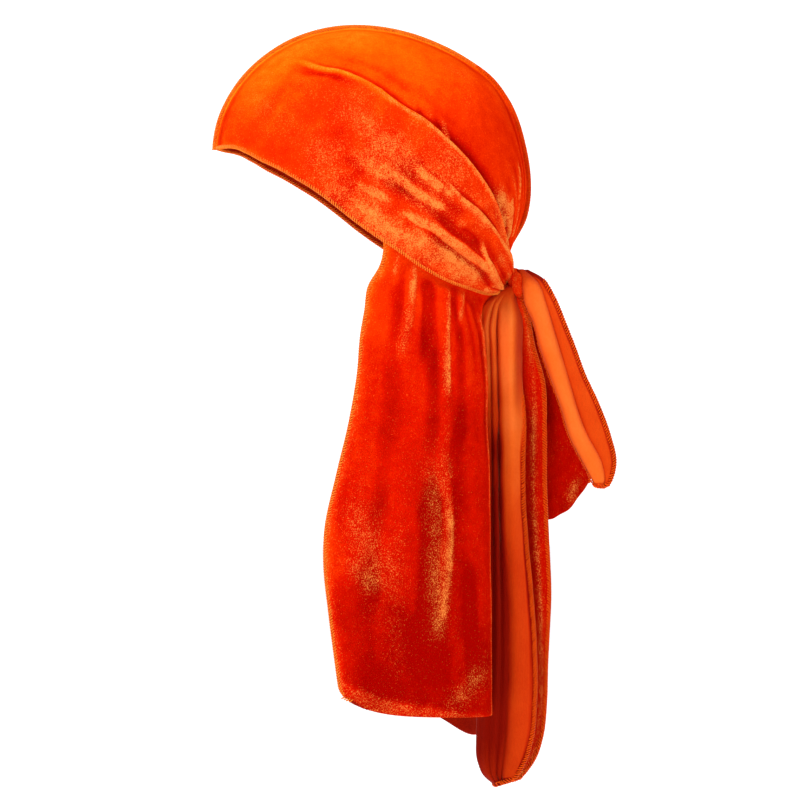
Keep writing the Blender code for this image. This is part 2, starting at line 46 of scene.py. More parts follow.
capForm = {
    "length": 0.205,  # brow to the back, over the cloth
    "crownHeight": 0.168,  # top of the crown to the middle of the knot
    "width": 0.154,
    "middleBack": 0.542,  # the middle of the outline and the origin, as shares
    "middleDown": 0.466,
    "originBack": 0.5105,
    "sideRatio": 0.819,  # crown height over length
    "roundAlong": 2.3,
    "roundAcross": 2.1,
    # direction in degrees, radius as a share of the length
    "outline": [
        (0, 0.4207), (22.5, 0.396), (33, 0.384), (45, 0.365), (67.5, 0.3493), (90, 0.3602), (112.5, 0.3942),
        (135, 0.4417), (157.5, 0.49), (170, 0.511), (180, 0.519), (202.5, 0.525), (225, 0.545), (270, 0.59),
        (300, 0.585), (310, 0.556), (318, 0.508), (326, 0.485), (339, 0.462),
    ],
}
sideView = {"away": 2.7, "aimY": 0.01625, "aimZ": -0.2408, "frame": 0.52}  # frame: metres across
clothWall = {"thickness": 0.0016, "gap": 0.0005, "seamThickness": 0.0012, "seamHeight": 0.0038}
wall = clothWall["thickness"]
halfInside = capForm["width"] / 2 - wall  # half the cap's width, to its inner side


def smooth(value, start, end):
    share = np.clip((value - start) / (end - start), 0.0, 1.0)
    return share * share * (3.0 - 2.0 * share)


def bump(value, middle, width):
    return np.exp(-(((value - middle) / width) ** 2))


def readRows(rows, at):
    # every column of a table after the first, read smoothly at the first column's value
    table = np.array(rows, float)
    xs = table[:, 0]
    at = np.clip(at, xs[0], xs[-1])
    i = np.clip(np.searchsorted(xs, at) - 1, 0, len(xs) - 2)
    step = xs[i + 1] - xs[i]
    t = (at - xs[i]) / step
    columns = []
    for ys in table[:, 1:].T:
        slopes = np.gradient(ys, xs)
        columns.append(
            (1 + 2 * t) * (1 - t) ** 2 * ys[i] + t * (1 - t) ** 2 * step * slopes[i]
            + t * t * (3 - 2 * t) * ys[i + 1] + t * t * (t - 1) * step * slopes[i + 1]
        )
    return columns


def unit(vectors):
    return vectors / np.maximum(np.linalg.norm(vectors, axis=-1, keepdims=True), 1e-9)


def lengthAlong(points, axis=0):
    steps = np.linalg.norm(np.diff(points, axis=axis), axis=-1)
    return np.insert(np.cumsum(steps, axis=axis), 0, 0, axis=axis)


def along(points, shares):
    # a smooth curve through the points, read at shares of its length
    points = np.asarray(points, float)
    ends = np.vstack([2 * points[0] - points[1], points, 2 * points[-1] - points[-2]])
    fine = []
    for i in range(len(points) - 1):
        a, b, c, d = ends[i : i + 4]
        t = np.linspace(0, 1, 16, endpoint=i == len(points) - 2)[:, None]
        cubic = 2 * b + (c - a) * t + (2 * a - 5 * b + 4 * c - d) * t**2
        fine.append(0.5 * (cubic + (3 * b - a - 3 * c + d) * t**3))
    fine = np.vstack(fine)
    length = lengthAlong(fine)
    return np.stack([np.interp(shares * length[-1], length, f) for f in fine.T], -1)


def ripple(points, size, seed):
    # slow uneven waves about that long, between -1 and 1
    rng = np.random.default_rng(seed)
    waves, total = 6, 0
    for _ in range(waves):
        phase = points @ unit(rng.normal(size=3)) * 2 * math.pi / size
        total = total + np.sin(phase * rng.uniform(0.7, 1.4) + rng.uniform(0, 6.3))
    return total / waves * 1.6


def nearLine(line, points, normals):
    # distance to a line, how far along it, and which side: 1 above or behind it
    a, ab = line[:-1], np.diff(line, axis=0)
    lengths, before = np.linalg.norm(ab, axis=1), lengthAlong(line)
    away = points[:, None, :] - a[None]
    t = np.clip(np.einsum("mkc,kc->mk", away, ab) / lengths**2, 0, 1)
    gap = away - t[..., None] * ab[None]
    squared = np.einsum("mkc,mkc->mk", gap, gap)
    best = np.argmin(squared, axis=1)
    row = np.arange(len(points))
    share = (before[best] + t[row, best] * lengths[best]) / before[-1]
    side = np.einsum("mc,mc->m", np.cross(normals, ab[best] / lengths[best, None]), gap[row, best])
    return np.sqrt(squared[row, best]), share, np.sign(side)


def creaseLift(creases, lineOf, points, normals):
    # folds and wrinkles: height, then how wide above or behind the line and below it, in mm
    lift = np.zeros(len(points))
    for spots, height, above, below, fadeIn, fadeOut in creases:
        distance, share, side = nearLine(lineOf(spots), points, normals)
        rise = smooth(share, 0, fadeIn) * (1 - smooth(share, 1 - fadeOut, 1))
        width = np.where(side > 0, above, below) / 1000
        lift += height / 1000 * rise * np.exp(-((distance / width) ** 2))
    return lift


def paleField(patches, lineOf, points, normals):
    # how pale the pile shows along the listed lines, from 0 to 1: where it lies the other way, and where a
    # painted highlight is put
    dark, atEnds = np.ones(len(points)), 0.35
    for spots, radius, strength in patches:
        distance, share, _ = nearLine(lineOf(spots), points, normals)
        ends = atEnds + (1 - atEnds) * smooth(share, 0, 0.2) * (1 - smooth(share, 0.8, 1))
        dark *= 1 - strength * ends * np.exp(-((distance / (radius / 1000)) ** 2))
    return 1 - dark


def outlineRadius(direction):
    turns = capForm["outline"]
    rows = [(d - 360, r) for d, r in turns] + turns + [(d + 360, r) for d, r in turns]
    return readRows(rows, np.degrees(direction) % 360)[0]


def discOf(spots):
    # spots (back, down), shares of the cap, on its unrolled left side
    back = np.array([s[0] for s in spots]) - capForm["middleBack"]
    up = (capForm["middleDown"] - np.array([s[1] for s in spots])) * capForm["sideRatio"]
    direction = np.arctan2(up, back)
    share = np.hypot(back, up) / outlineRadius(direction)
    turn = np.arcsin(np.clip(share, 0, 1) ** (capForm["roundAlong"] / 2))
    return np.stack([turn * np.cos(direction), turn * np.sin(direction)], -1)


def onEgg(disc):
    # the inner side of the cap, an egg
    turn = np.hypot(disc[..., 0], disc[..., 1])
    direction = np.arctan2(disc[..., 1], disc[..., 0])
    share = np.sin(np.minimum(turn, math.pi / 2)) ** (2 / capForm["roundAlong"])
    across = np.maximum(np.cos(np.minimum(turn, math.pi / 2)), 0) ** (2 / capForm["roundAcross"])
    reach = share * outlineRadius(direction)
    y = (capForm["middleBack"] - capForm["originBack"] + reach * np.cos(direction)) * capForm["length"]
    z = reach * np.sin(direction) / capForm["sideRatio"] - capForm["middleDown"]
    return np.stack([across * halfInside, y, z * capForm["crownHeight"]], -1)


def eggLevel(points):
    # 1 on the egg, more outside it
    back = points[..., 1] / capForm["length"] + capForm["originBack"] - capForm["middleBack"]
    up = (points[..., 2] / capForm["crownHeight"] + capForm["middleDown"]) * capForm["sideRatio"]
    share = np.hypot(back, up) / outlineRadius(np.arctan2(up, back))
    across = np.abs(points[..., 0]) / halfInside
    return across ** capForm["roundAcross"] + share ** capForm["roundAlong"]


def eggNormals(disc):
    points, step = onEgg(disc), 1e-4
    rises = [eggLevel(points + step * way) - eggLevel(points - step * way) for way in np.eye(3)]
    return unit(np.stack(rises, -1))


def lifted(disc, lift):
    return onEgg(disc) + eggNormals(disc) * np.asarray(lift)[..., None]


def discSeen(spots, lift=0.003):
    # spots (back, down) as they show from the side, on cloth that far off the egg
    wanted = np.array(spots, float)
    spot, v = wanted.copy(), sideView
    for _ in range(6):
        points = lifted(discOf(spot), np.full(len(spot), lift))
        near = v["away"] / (v["away"] - points[:, 0])
        y = v["aimY"] + (points[:, 1] - v["aimY"]) * near
        z = v["aimZ"] + (points[:, 2] - v["aimZ"]) * near
        shown = np.stack([y / capForm["length"] + capForm["originBack"], -z / capForm["crownHeight"]], -1)
        spot = spot + 0.8 * (wanted - shown)
    return discOf(spot)


lineSteps = np.linspace(0, 1, 36)


def lineOnCap(spots):
    # a line seen from the side, in mm back and down, laid on the cap
    shares = [(b / 1000 / capForm["length"], d / 1000 / capForm["crownHeight"]) for b, d in spots]
    return onEgg(along(discSeen(shares), lineSteps))


def lineInAir(spots, side=0.067):
    # the same on a hanging piece that far to the side, in the plane of the view
    near, v = sideView["away"] / (sideView["away"] - side), sideView
    front = capForm["originBack"] * capForm["length"]
    points = [(0, v["aimY"] + (b / 1000 - front - v["aimY"]) / near,
               v["aimZ"] + (-d / 1000 - v["aimZ"]) / near) for b, d in spots]
    return along(points, lineSteps)


def rimTurn():
    # how far round each half reaches, up to the seam
    clear = (clothWall["seamThickness"] / 2 + clothWall["gap"]) / halfInside
    return math.acos(clear ** (capForm["roundAcross"] / 2))


def rimArc(first, last, shares):
    a, b = (math.atan2(d[1], d[0]) % (2 * math.pi) for d in discOf([first, last]))
    b -= 2 * math.pi if b > a else 0
    turn = a + (b - a) * np.asarray(shares)
    return rimTurn() * np.stack([np.cos(turn), np.sin(turn)], -1)


def patch(low, high, start, end, u, v):
    # a surface between four curves: low and high run from start to end
    u, v = u[:, None, None], v[None, :, None]
    low, high, start, end = low[:, None], high[:, None], start[None], end[None]
    first = (1 - v) * start[:, :1] + v * start[:, -1:]
    last = (1 - v) * end[:, :1] + v * end[:, -1:]
    corners = (1 - u) * first + u * last
    return (1 - v) * low + v * high + (1 - u) * start + u * end - corners


def linear(hexColour):
    values = [int(hexColour[i : i + 2], 16) / 255 for i in (1, 3, 5)]
    return (*[c / 12.92 if c <= 0.04045 else ((c + 0.055) / 1.055) ** 2.4 for c in values], 1.0)


def setInputs(tree, node, inputs):
    # a node given as a value stands for its first output
    for name, value in inputs.items():
        if isinstance(value, bpy.types.Node):
            value = next(socket for socket in value.outputs if socket.enabled)
        if isinstance(value, bpy.types.NodeSocket):
            tree.links.new(value, node.inputs[name])
        else:
            node.inputs[name].default_value = value


def addNode(tree, kind, inputs=None, **settings):
    node = tree.nodes.new(kind)
    for name, value in settings.items():
        setattr(node, name, value)
    setInputs(tree, node, inputs or {})
    return node


def setStops(node, colours, places):
    # the colours of a ramp: its two ends and the places between them
    ramp = node.color_ramp
    between = [ramp.elements.new(place) for place in places]
    for stop, colour in zip([ramp.elements[0], *between, ramp.elements[-1]], colours):
        stop.color = linear(colour)


def newMaterial(name):
    material = bpy.data.materials.new(name)
    material.use_nodes = True
    tree = material.node_tree
    return material, tree, tree.nodes["Principled BSDF"]


velvetFinish = {
    "pile": ["#9c0200", "#d01100", "#ee3401", "#fa6203", "#ff961a"],  # from deep red, for standing pile and painted shade, to orange, for brushed pile and painted light
    "stops": [0.28, 0.52, 0.77],
    "pale": "#f08f3e",  # pile lying towards the eye, and painted highlights
    "paleFrom": 0.85,
    "paleFull": 1.95,
    "paleMost": 0.88,
    "grain": 0.00075,  # metres, clumps of pile
    "grainStrength": (0.17, 0.06),  # by tone, and everywhere
    "cloud": 0.0065,  # metres, uneven brushing
    "cloudStrength": 0.34,
    "relief": 0.0005,  # metres
    "tint": "#ff5c14",
    "surface": {"Roughness": 0.8, "Specular IOR Level": 0.0, "Sheen Weight": 0.08, "Sheen Roughness": 0.35},
}


def crushedVelvet():
    # polyester velvet on a knitted back: short pile that lies in patches, so it looks
    # deep red where it stands up and pale orange, in fine grains, where it lies down; the fields it reads
    # also hold painted light and shade, and painted highlights
    v = velvetFinish
    byTone, everywhere = v["grainStrength"]
    material, tree, shader = newMaterial("crushedVelvet")
    place = addNode(tree, "ShaderNodeTexCoord").outputs["Object"]
    tone = addNode(tree, "ShaderNodeAttribute", attribute_name="tone").outputs["Fac"]
    napAndHighlight = addNode(tree, "ShaderNodeAttribute", attribute_name="napAndHighlight").outputs["Fac"]
    grain = addNode(tree, "ShaderNodeTexNoise", {
        "Vector": place, "Scale": 1 / v["grain"], "Detail": 1.5, "Roughness": 0.7})
    clump = addNode(tree, "ShaderNodeMapRange", {
        "Value": grain, "From Min": 0.33, "From Max": 0.67}, clamp=False)
    cloud = addNode(tree, "ShaderNodeTexNoise", {
        "Vector": place, "Scale": 1 / v["cloud"], "Detail": 4.0, "Roughness": 0.62})
    cloudy = addNode(tree, "ShaderNodeMath", {0: cloud, 1: -0.5}, operation="ADD")
    uneven = addNode(tree, "ShaderNodeMath", {
        0: cloudy, 1: v["cloudStrength"], 2: tone}, operation="MULTIPLY_ADD")
    rough = addNode(tree, "ShaderNodeMath", {0: tone, 1: byTone, 2: everywhere}, operation="MULTIPLY_ADD")
    speckled = addNode(tree, "ShaderNodeMath", {0: clump, 1: rough, 2: uneven}, operation="MULTIPLY_ADD")
    spread = addNode(tree, "ShaderNodeMapRange", {"Value": speckled, "From Min": 0.02, "From Max": 1.35})
    # the ramp turns the painted light and shade of the tone field into colour
    body = addNode(tree, "ShaderNodeValToRGB", {"Fac": spread})
    setStops(body, v["pile"], v["stops"])
    lying = addNode(tree, "ShaderNodeMath", {0: cloudy, 1: 2.0, 2: 1.0}, operation="MULTIPLY_ADD")
    patchy = addNode(tree, "ShaderNodeMath", {0: lying, 1: napAndHighlight}, operation="MULTIPLY")
    level = addNode(tree, "ShaderNodeMath", {0: clump, 1: patchy}, operation="ADD")
    shown = addNode(tree, "ShaderNodeMapRange", {
        "Value": level, "From Min": v["paleFrom"], "From Max": v["paleFull"], "To Max": v["paleMost"],
    }, interpolation_type="SMOOTHSTEP")
    colour = addNode(tree, "ShaderNodeMix", {
        "Factor": shown, "A": body, "B": linear(v["pale"])}, data_type="RGBA")
    relief = addNode(tree, "ShaderNodeBump", {"Height": grain, "Strength": 0.5, "Distance": v["relief"]})
    setInputs(tree, shader, {
        "Base Color": colour, "Normal": relief, "Sheen Tint": linear(v["tint"]), **v["surface"]})
    return material


knitFinish = {
    "yarn": ["#8a0700", "#bf2703", "#d8460c", "#e8621c", "#fa8038"],  # painted shade in the folds to painted light towards the lamp
    "stops": [0.30, 0.56, 0.74],
    "wale": 0.0011,  # metres, about twice the real width, so that it shows
    "fuzz": 700.0,  # per metre, fine hairs
    "cloud": 60.0,  # per metre, slow unevenness
    "relief": 0.0003,  # metres
    "gloss": "#ff8040",
    "tint": "#ffb080",
    "surface": {"Roughness": 0.72, "Specular IOR Level": 0.15, "Sheen Weight": 0.15},
}


def tricotBack():
    # warp-knitted polyester, the velvet's back: smooth, matt, with fine upright wales; its colour follows
    # painted light and shade in the tone field
    k = knitFinish
    material, tree, shader = newMaterial("tricotBack")
    place = addNode(tree, "ShaderNodeTexCoord").outputs["Object"]
    flat = addNode(tree, "ShaderNodeUVMap", uv_map="cloth")
    tone = addNode(tree, "ShaderNodeAttribute", attribute_name="tone").outputs["Fac"]
    wales = addNode(tree, "ShaderNodeTexWave", {
        "Vector": flat, "Scale": 0.314 / k["wale"], "Distortion": 0.6, "Detail": 1.0}, bands_direction="X")
    fuzz = addNode(tree, "ShaderNodeTexNoise", {"Vector": place, "Scale": k["fuzz"], "Detail": 2.0})
    cloud = addNode(tree, "ShaderNodeTexNoise", {"Vector": place, "Scale": k["cloud"], "Detail": 3.0})
    mixed = addNode(tree, "ShaderNodeMath", {0: fuzz, 1: 0.5, 2: cloud}, operation="MULTIPLY_ADD")
    uneven = addNode(tree, "ShaderNodeMath", {0: mixed, 1: 0.24, 2: tone}, operation="MULTIPLY_ADD")
    spread = addNode(tree, "ShaderNodeMapRange", {"Value": uneven, "From Max": 1.35})
    colour = addNode(tree, "ShaderNodeValToRGB", {"Fac": spread})
    setStops(colour, k["yarn"], k["stops"])
    height = addNode(tree, "ShaderNodeMath", {
        0: wales.outputs["Fac"], 1: 0.6, 2: fuzz}, operation="MULTIPLY_ADD")
    relief = addNode(tree, "ShaderNodeBump", {"Height": height, "Strength": 0.4, "Distance": k["relief"]})
    setInputs(tree, shader, {
        "Base Color": colour, "Normal": relief, "Specular Tint": linear(k["gloss"]),
        "Sheen Tint": linear(k["tint"]), **k["surface"]})
    return material


threadFinish = {
    "bright": ["#e64406", "#ffa038"],
    # the same thread, painted darker as painted shade where it hangs in shade
    "deep": ["#d02402", "#f66812"],
    "twist": 0.0009,  # metres
    "gloss": "#ff7030",
    "tint": "#ff7830",
    "surface": {"Roughness": 0.55, "Specular IOR Level": 0.15, "Sheen Weight": 0.06},
}


def overlockThread(name, shade):
    # textured polyester thread: soft and a little shiny, lighter than the velvet
    t = threadFinish
    material, tree, shader = newMaterial(name)
    place = addNode(tree, "ShaderNodeTexCoord").outputs["Object"]
    twist = addNode(tree, "ShaderNodeTexNoise", {"Vector": place, "Scale": 1 / t["twist"], "Detail": 1.0})
    low, high = (linear(colour) for colour in t[shade])
    colour = addNode(tree, "ShaderNodeMix", {"Factor": twist, "A": low, "B": high}, data_type="RGBA")
    setInputs(tree, shader, {
        "Base Color": colour, "Specular Tint": linear(t["gloss"]), "Sheen Tint": linear(t["tint"]),
        **t["surface"]})
    return material


velvet, knit = crushedVelvet(), tricotBack()
# the second thread is the first one painted darker, as painted shade on the seam's low end, the ties' ends
# and the bow loop
thread, shadedThread = overlockThread("overlockThread", "bright"), overlockThread("overlockThreadShaded", "deep")
print("materials made")


def newPiece(name, data):
    piece = bpy.data.objects.new(name, data)
    bpy.context.scene.collection.objects.link(piece)
    return piece


def setField(data, label, values):
    # a number or a vector for each point
    kind, key = ("FLOAT", "value") if values.ndim == 1 else ("FLOAT_VECTOR", "vector")
    data.attributes.new(label, kind, "POINT").data.foreach_set(key, values.ravel())


def normalsOf(grid, guide):
    # on the guide's side, and the guide itself where the grid is pinched
    normal = np.cross(np.gradient(grid, axis=0), np.gradient(grid, axis=1))
    size = np.linalg.norm(normal, axis=-1, keepdims=True)
    normal = normal / np.maximum(size, 1e-12)
    if np.sum(normal * guide) < 0:
        normal = -normal
    return unit(np.where(size > 1e-11, normal, guide))


def quadsOf(index):
    return np.stack([index[:-1, :-1], index[1:, :-1], index[1:, 1:], index[:-1, 1:]], -1).reshape(-1, 4)


def clothPiece(name, middle, normal, tone, napAndHighlight, outside, inside, node):
    # a wall round a grid of points, its rim rounded, with a face and a back material
    backTone, roundRim = 0.30, 0.7
    nu, nv = middle.shape[:2]
    rim = [(i, 0) for i in range(nu)] + [(nu - 1, j) for j in range(1, nv)]
    rim += [(i, nv - 1) for i in range(nu - 2, -1, -1)] + [(0, j) for j in range(nv - 2, 0, -1)]
    row, column = np.array(rim).T
    away = unit(middle[row, column] - middle[np.clip(row, 1, nu - 2), np.clip(column, 1, nv - 2)])
    edge = middle[row, column] + away * (wall / 2) * roundRim
    layers = [(middle + normal * way * wall / 2).reshape(-1, 3) for way in (1, -1)]
    points = np.vstack([*layers, edge])
    index = np.arange(nu * nv).reshape(nu, nv)
    quads, ring = quadsOf(index), index[row, column]
    edges = 2 * nu * nv + np.arange(len(ring))
    following, edgesNext = np.roll(ring, -1), np.roll(edges, -1)
    faces = np.vstack([
        quads, quads[:, ::-1] + nu * nv,
        np.stack([following, ring, edges, edgesNext], -1),
        np.stack([edgesNext, edges, ring + nu * nv, following + nu * nv], -1),
    ])
    a, b, c, d = (points[faces[:, k]] for k in range(4))
    if np.sum(np.cross(a, b) * c + np.cross(a, c) * d) < 0:  # inside out
        faces = faces[:, ::-1]
    data = bpy.data.meshes.new(name)
    data.vertices.add(len(points))
    data.vertices.foreach_set("co", points.ravel())
    data.loops.add(faces.size)
    data.loops.foreach_set("vertex_index", faces.ravel())
    data.polygons.add(len(faces))
    data.polygons.foreach_set("loop_start", np.arange(0, faces.size, 4))
    data.materials.append(outside)
    data.materials.append(inside)
    which = np.zeros(len(faces), int)
    which[len(quads) : 2 * len(quads)] = 1
    data.polygons.foreach_set("material_index", which)
    data.update(calc_edges=True)
    data.validate()
    data.shade_smooth()
    for label, values, back in (("tone", tone, backTone), ("napAndHighlight", napAndHighlight, 0.0)):
        flat = np.asarray(values, float).reshape(-1)
        setField(data, label, np.concatenate([flat, np.full(nu * nv, back), flat[ring]]))
    flatPlace = np.stack([lengthAlong(middle, 1).ravel(), lengthAlong(middle, 0).ravel()], -1)
    flatPlace = np.vstack([flatPlace, flatPlace, flatPlace[ring]])
    loops = np.empty(len(data.loops), int)
    data.loops.foreach_get("vertex_index", loops)
    data.uv_layers.new(name="cloth").data.foreach_set("uv", flatPlace[loops].ravel())
    piece = newPiece(name, data)
    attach(piece, "root")
    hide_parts(node)
    return piece


def setBack(piece, tone, napAndHighlight):
    # tone and nap of the velvet when it is the inner side
    for label, values in (("tone", (tone + 0 * napAndHighlight).ravel()), ("napAndHighlight", napAndHighlight.ravel())):
        layer = piece.data.attributes[label].data
        every = np.empty(len(layer))
        layer.foreach_get("value", every)
        every[napAndHighlight.size : 2 * napAndHighlight.size] = values
        layer.foreach_set("value", every)


def crests(lift, reach=5):
    # where a surface stands above its own surroundings
    blurred, count = lift, 2 * reach + 1
    for axis in (0, 1):
        margin = [(reach, reach) if k == axis else (0, 0) for k in (0, 1)]
        wide, size = np.pad(blurred, margin, mode="edge"), blurred.shape[axis]
        blurred = sum(np.take(wide, range(k, k + size), axis) for k in range(count)) / count
    return lift - blurred


# pitch, band and thread in metres, drawn coarser than the real ones so that they show
overlock = {
    "pitch": 0.0017, "band": 0.0028, "thread": 0.00044, "slant": 0.70,
    "chainSwing": 0.0005, "uneven": (0.88, 1.1), "seed": 4,
}


def overlockTree():
    # thread loops round a cloth edge, one each pitch, and a chain along its rim
    o = overlock
    tree = bpy.data.node_groups.new("overlockEdge", "GeometryNodeTree")
    tree.interface.new_socket("Geometry", in_out="INPUT", socket_type="NodeSocketGeometry")
    for label in ("Pitch", "Band", "Thread", "Slant", "Half Height"):
        tree.interface.new_socket(label, in_out="INPUT", socket_type="NodeSocketFloat")
    tree.interface.new_socket("Material", in_out="INPUT", socket_type="NodeSocketMaterial")
    tree.interface.new_socket("Geometry", in_out="OUTPUT", socket_type="NodeSocketGeometry")
    given = addNode(tree, "NodeGroupInput").outputs
    path = addNode(tree, "GeometryNodeMeshToCurve", {"Mesh": given["Geometry"]})
    spaced = addNode(tree, "GeometryNodeResampleCurve", {
        "Curve": path, "Length": given["Pitch"]}, mode="LENGTH")
    face, inward = (addNode(tree, "GeometryNodeInputNamedAttribute", {"Name": name}, data_type="FLOAT_VECTOR")
                    for name in ("faceNormal", "inward"))
    turn = addNode(tree, "FunctionNodeAxesToRotation", {
        "Primary Axis": face, "Secondary Axis": inward}, primary_axis="Z", secondary_axis="X")
    # one loop: a ring that is flattened, moved in from the rim and leant over
    ring = addNode(tree, "GeometryNodeCurvePrimitiveCircle", {"Resolution": 12, "Radius": 1.0})
    halfBand = addNode(tree, "ShaderNodeMath", {0: given["Band"], 1: 0.5}, operation="MULTIPLY")
    shape = addNode(tree, "ShaderNodeCombineXYZ", {"X": halfBand, "Y": given["Half Height"], "Z": 1.0})
    inset = addNode(tree, "ShaderNodeMath", {0: halfBand, 1: given["Thread"]}, operation="SUBTRACT")
    shift = addNode(tree, "ShaderNodeCombineXYZ", {"X": inset})
    loop = addNode(tree, "GeometryNodeTransform", {
        "Geometry": ring, "Translation": shift, "Rotation": (math.pi / 2, 0, 0), "Scale": shape})
    strand = addNode(tree, "GeometryNodeCurvePrimitiveCircle", {"Resolution": 4, "Radius": given["Thread"]})
    tube = addNode(tree, "GeometryNodeCurveToMesh", {"Curve": loop, "Profile Curve": strand})
    lean = addNode(tree, "ShaderNodeCombineXYZ", {"Z": given["Slant"]})
    slanted = addNode(tree, "GeometryNodeTransform", {"Geometry": tube, "Rotation": lean})
    least, most = ((value,) * 3 for value in o["uneven"])
    size = addNode(tree, "FunctionNodeRandomValue", {
        "Min": least, "Max": most, "Seed": o["seed"]}, data_type="FLOAT_VECTOR")
    loops = addNode(tree, "GeometryNodeInstanceOnPoints", {
        "Points": spaced, "Instance": slanted, "Rotation": turn, "Scale": size})
    # the chain swings to and fro along the rim
    halfPitch = addNode(tree, "ShaderNodeMath", {0: given["Pitch"], 1: 0.5}, operation="MULTIPLY")
    chain = addNode(tree, "GeometryNodeResampleCurve", {"Curve": path, "Length": halfPitch}, mode="LENGTH")
    count = addNode(tree, "GeometryNodeInputIndex")
    odd = addNode(tree, "ShaderNodeMath", {0: count, 1: 2.0}, operation="MODULO")
    swing = addNode(tree, "ShaderNodeMapRange", {
        "Value": odd, "To Min": -o["chainSwing"], "To Max": o["chainSwing"]})
    sideways = addNode(tree, "ShaderNodeVectorMath", {0: face, "Scale": swing}, operation="SCALE")
    moved = addNode(tree, "GeometryNodeSetPosition", {"Geometry": chain, "Offset": sideways})
    chained = addNode(tree, "GeometryNodeCurveToMesh", {"Curve": moved, "Profile Curve": strand})
    both = addNode(tree, "GeometryNodeJoinGeometry", {"Geometry": loops})
    setInputs(tree, both, {"Geometry": chained})
    real = addNode(tree, "GeometryNodeRealizeInstances", {"Geometry": both})
    soft = addNode(tree, "GeometryNodeSetShadeSmooth", {"Geometry": real})
    made = addNode(tree, "GeometryNodeSetMaterial", {"Geometry": soft, "Material": given["Material"]})
    addNode(tree, "NodeGroupOutput", {"Geometry": made})
    return tree


overlockEdge = overlockTree()


def overlocked(name, runs, halfHeight=0.00140, band=1.0, yarn=thread):
    # runs of (points, face normals, directions into the cloth)
    edges, start = [], 0
    for run in runs:
        edges += [(start + i, start + i + 1) for i in range(len(run[0]) - 1)]
        start += len(run[0])
    data = bpy.data.meshes.new(name)
    data.from_pydata(np.vstack([run[0] for run in runs]).tolist(), edges, [])
    for label, k in (("faceNormal", 1), ("inward", 2)):
        setField(data, label, np.vstack([unit(run[k]) for run in runs]))
    piece = newPiece(name, data)
    modifier = piece.modifiers.new("overlock", "NODES")
    modifier.node_group = overlockEdge
    values = {"Pitch": overlock["pitch"], "Band": overlock["band"] * band, "Thread": overlock["thread"],
              "Slant": overlock["slant"], "Half Height": halfHeight, "Material": yarn}
    for socket in overlockEdge.interface.items_tree:
        if socket.in_out == "INPUT" and socket.name in values:
            modifier[socket.identifier] = values[socket.name]
    graph = bpy.context.evaluated_depsgraph_get()
    made = bpy.data.meshes.new_from_object(piece.evaluated_get(graph))
    piece.modifiers.clear()
    piece.data = made
    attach(piece, "root")


def gridEdge(middle, normal, edge):
    # one side of a grid as a run for the overlock
    if edge.endswith("Column"):
        middle, normal = middle.swapaxes(0, 1), normal.swapaxes(0, 1)
    if edge.startswith("last"):
        middle, normal = middle[::-1], normal[::-1]
    line, inward = middle[0], middle[3] - middle[0]
    tangent = unit(np.gradient(line, axis=0))
    inward = inward - tangent * np.sum(inward * tangent, -1, keepdims=True)
    return line, normal[1], unit(inward)


# where the straps are tied; knotBack is a share of the cap's length, width the strap's
tie = {"width": 0.100, "knotBack": 0.958, "knotWidth": 0.0234, "knotHeight": 0.026}
knotY = (tie["knotBack"] - capForm["originBack"]) * capForm["length"]
knotMiddle = np.array([0.0, knotY, -capForm["crownHeight"]])


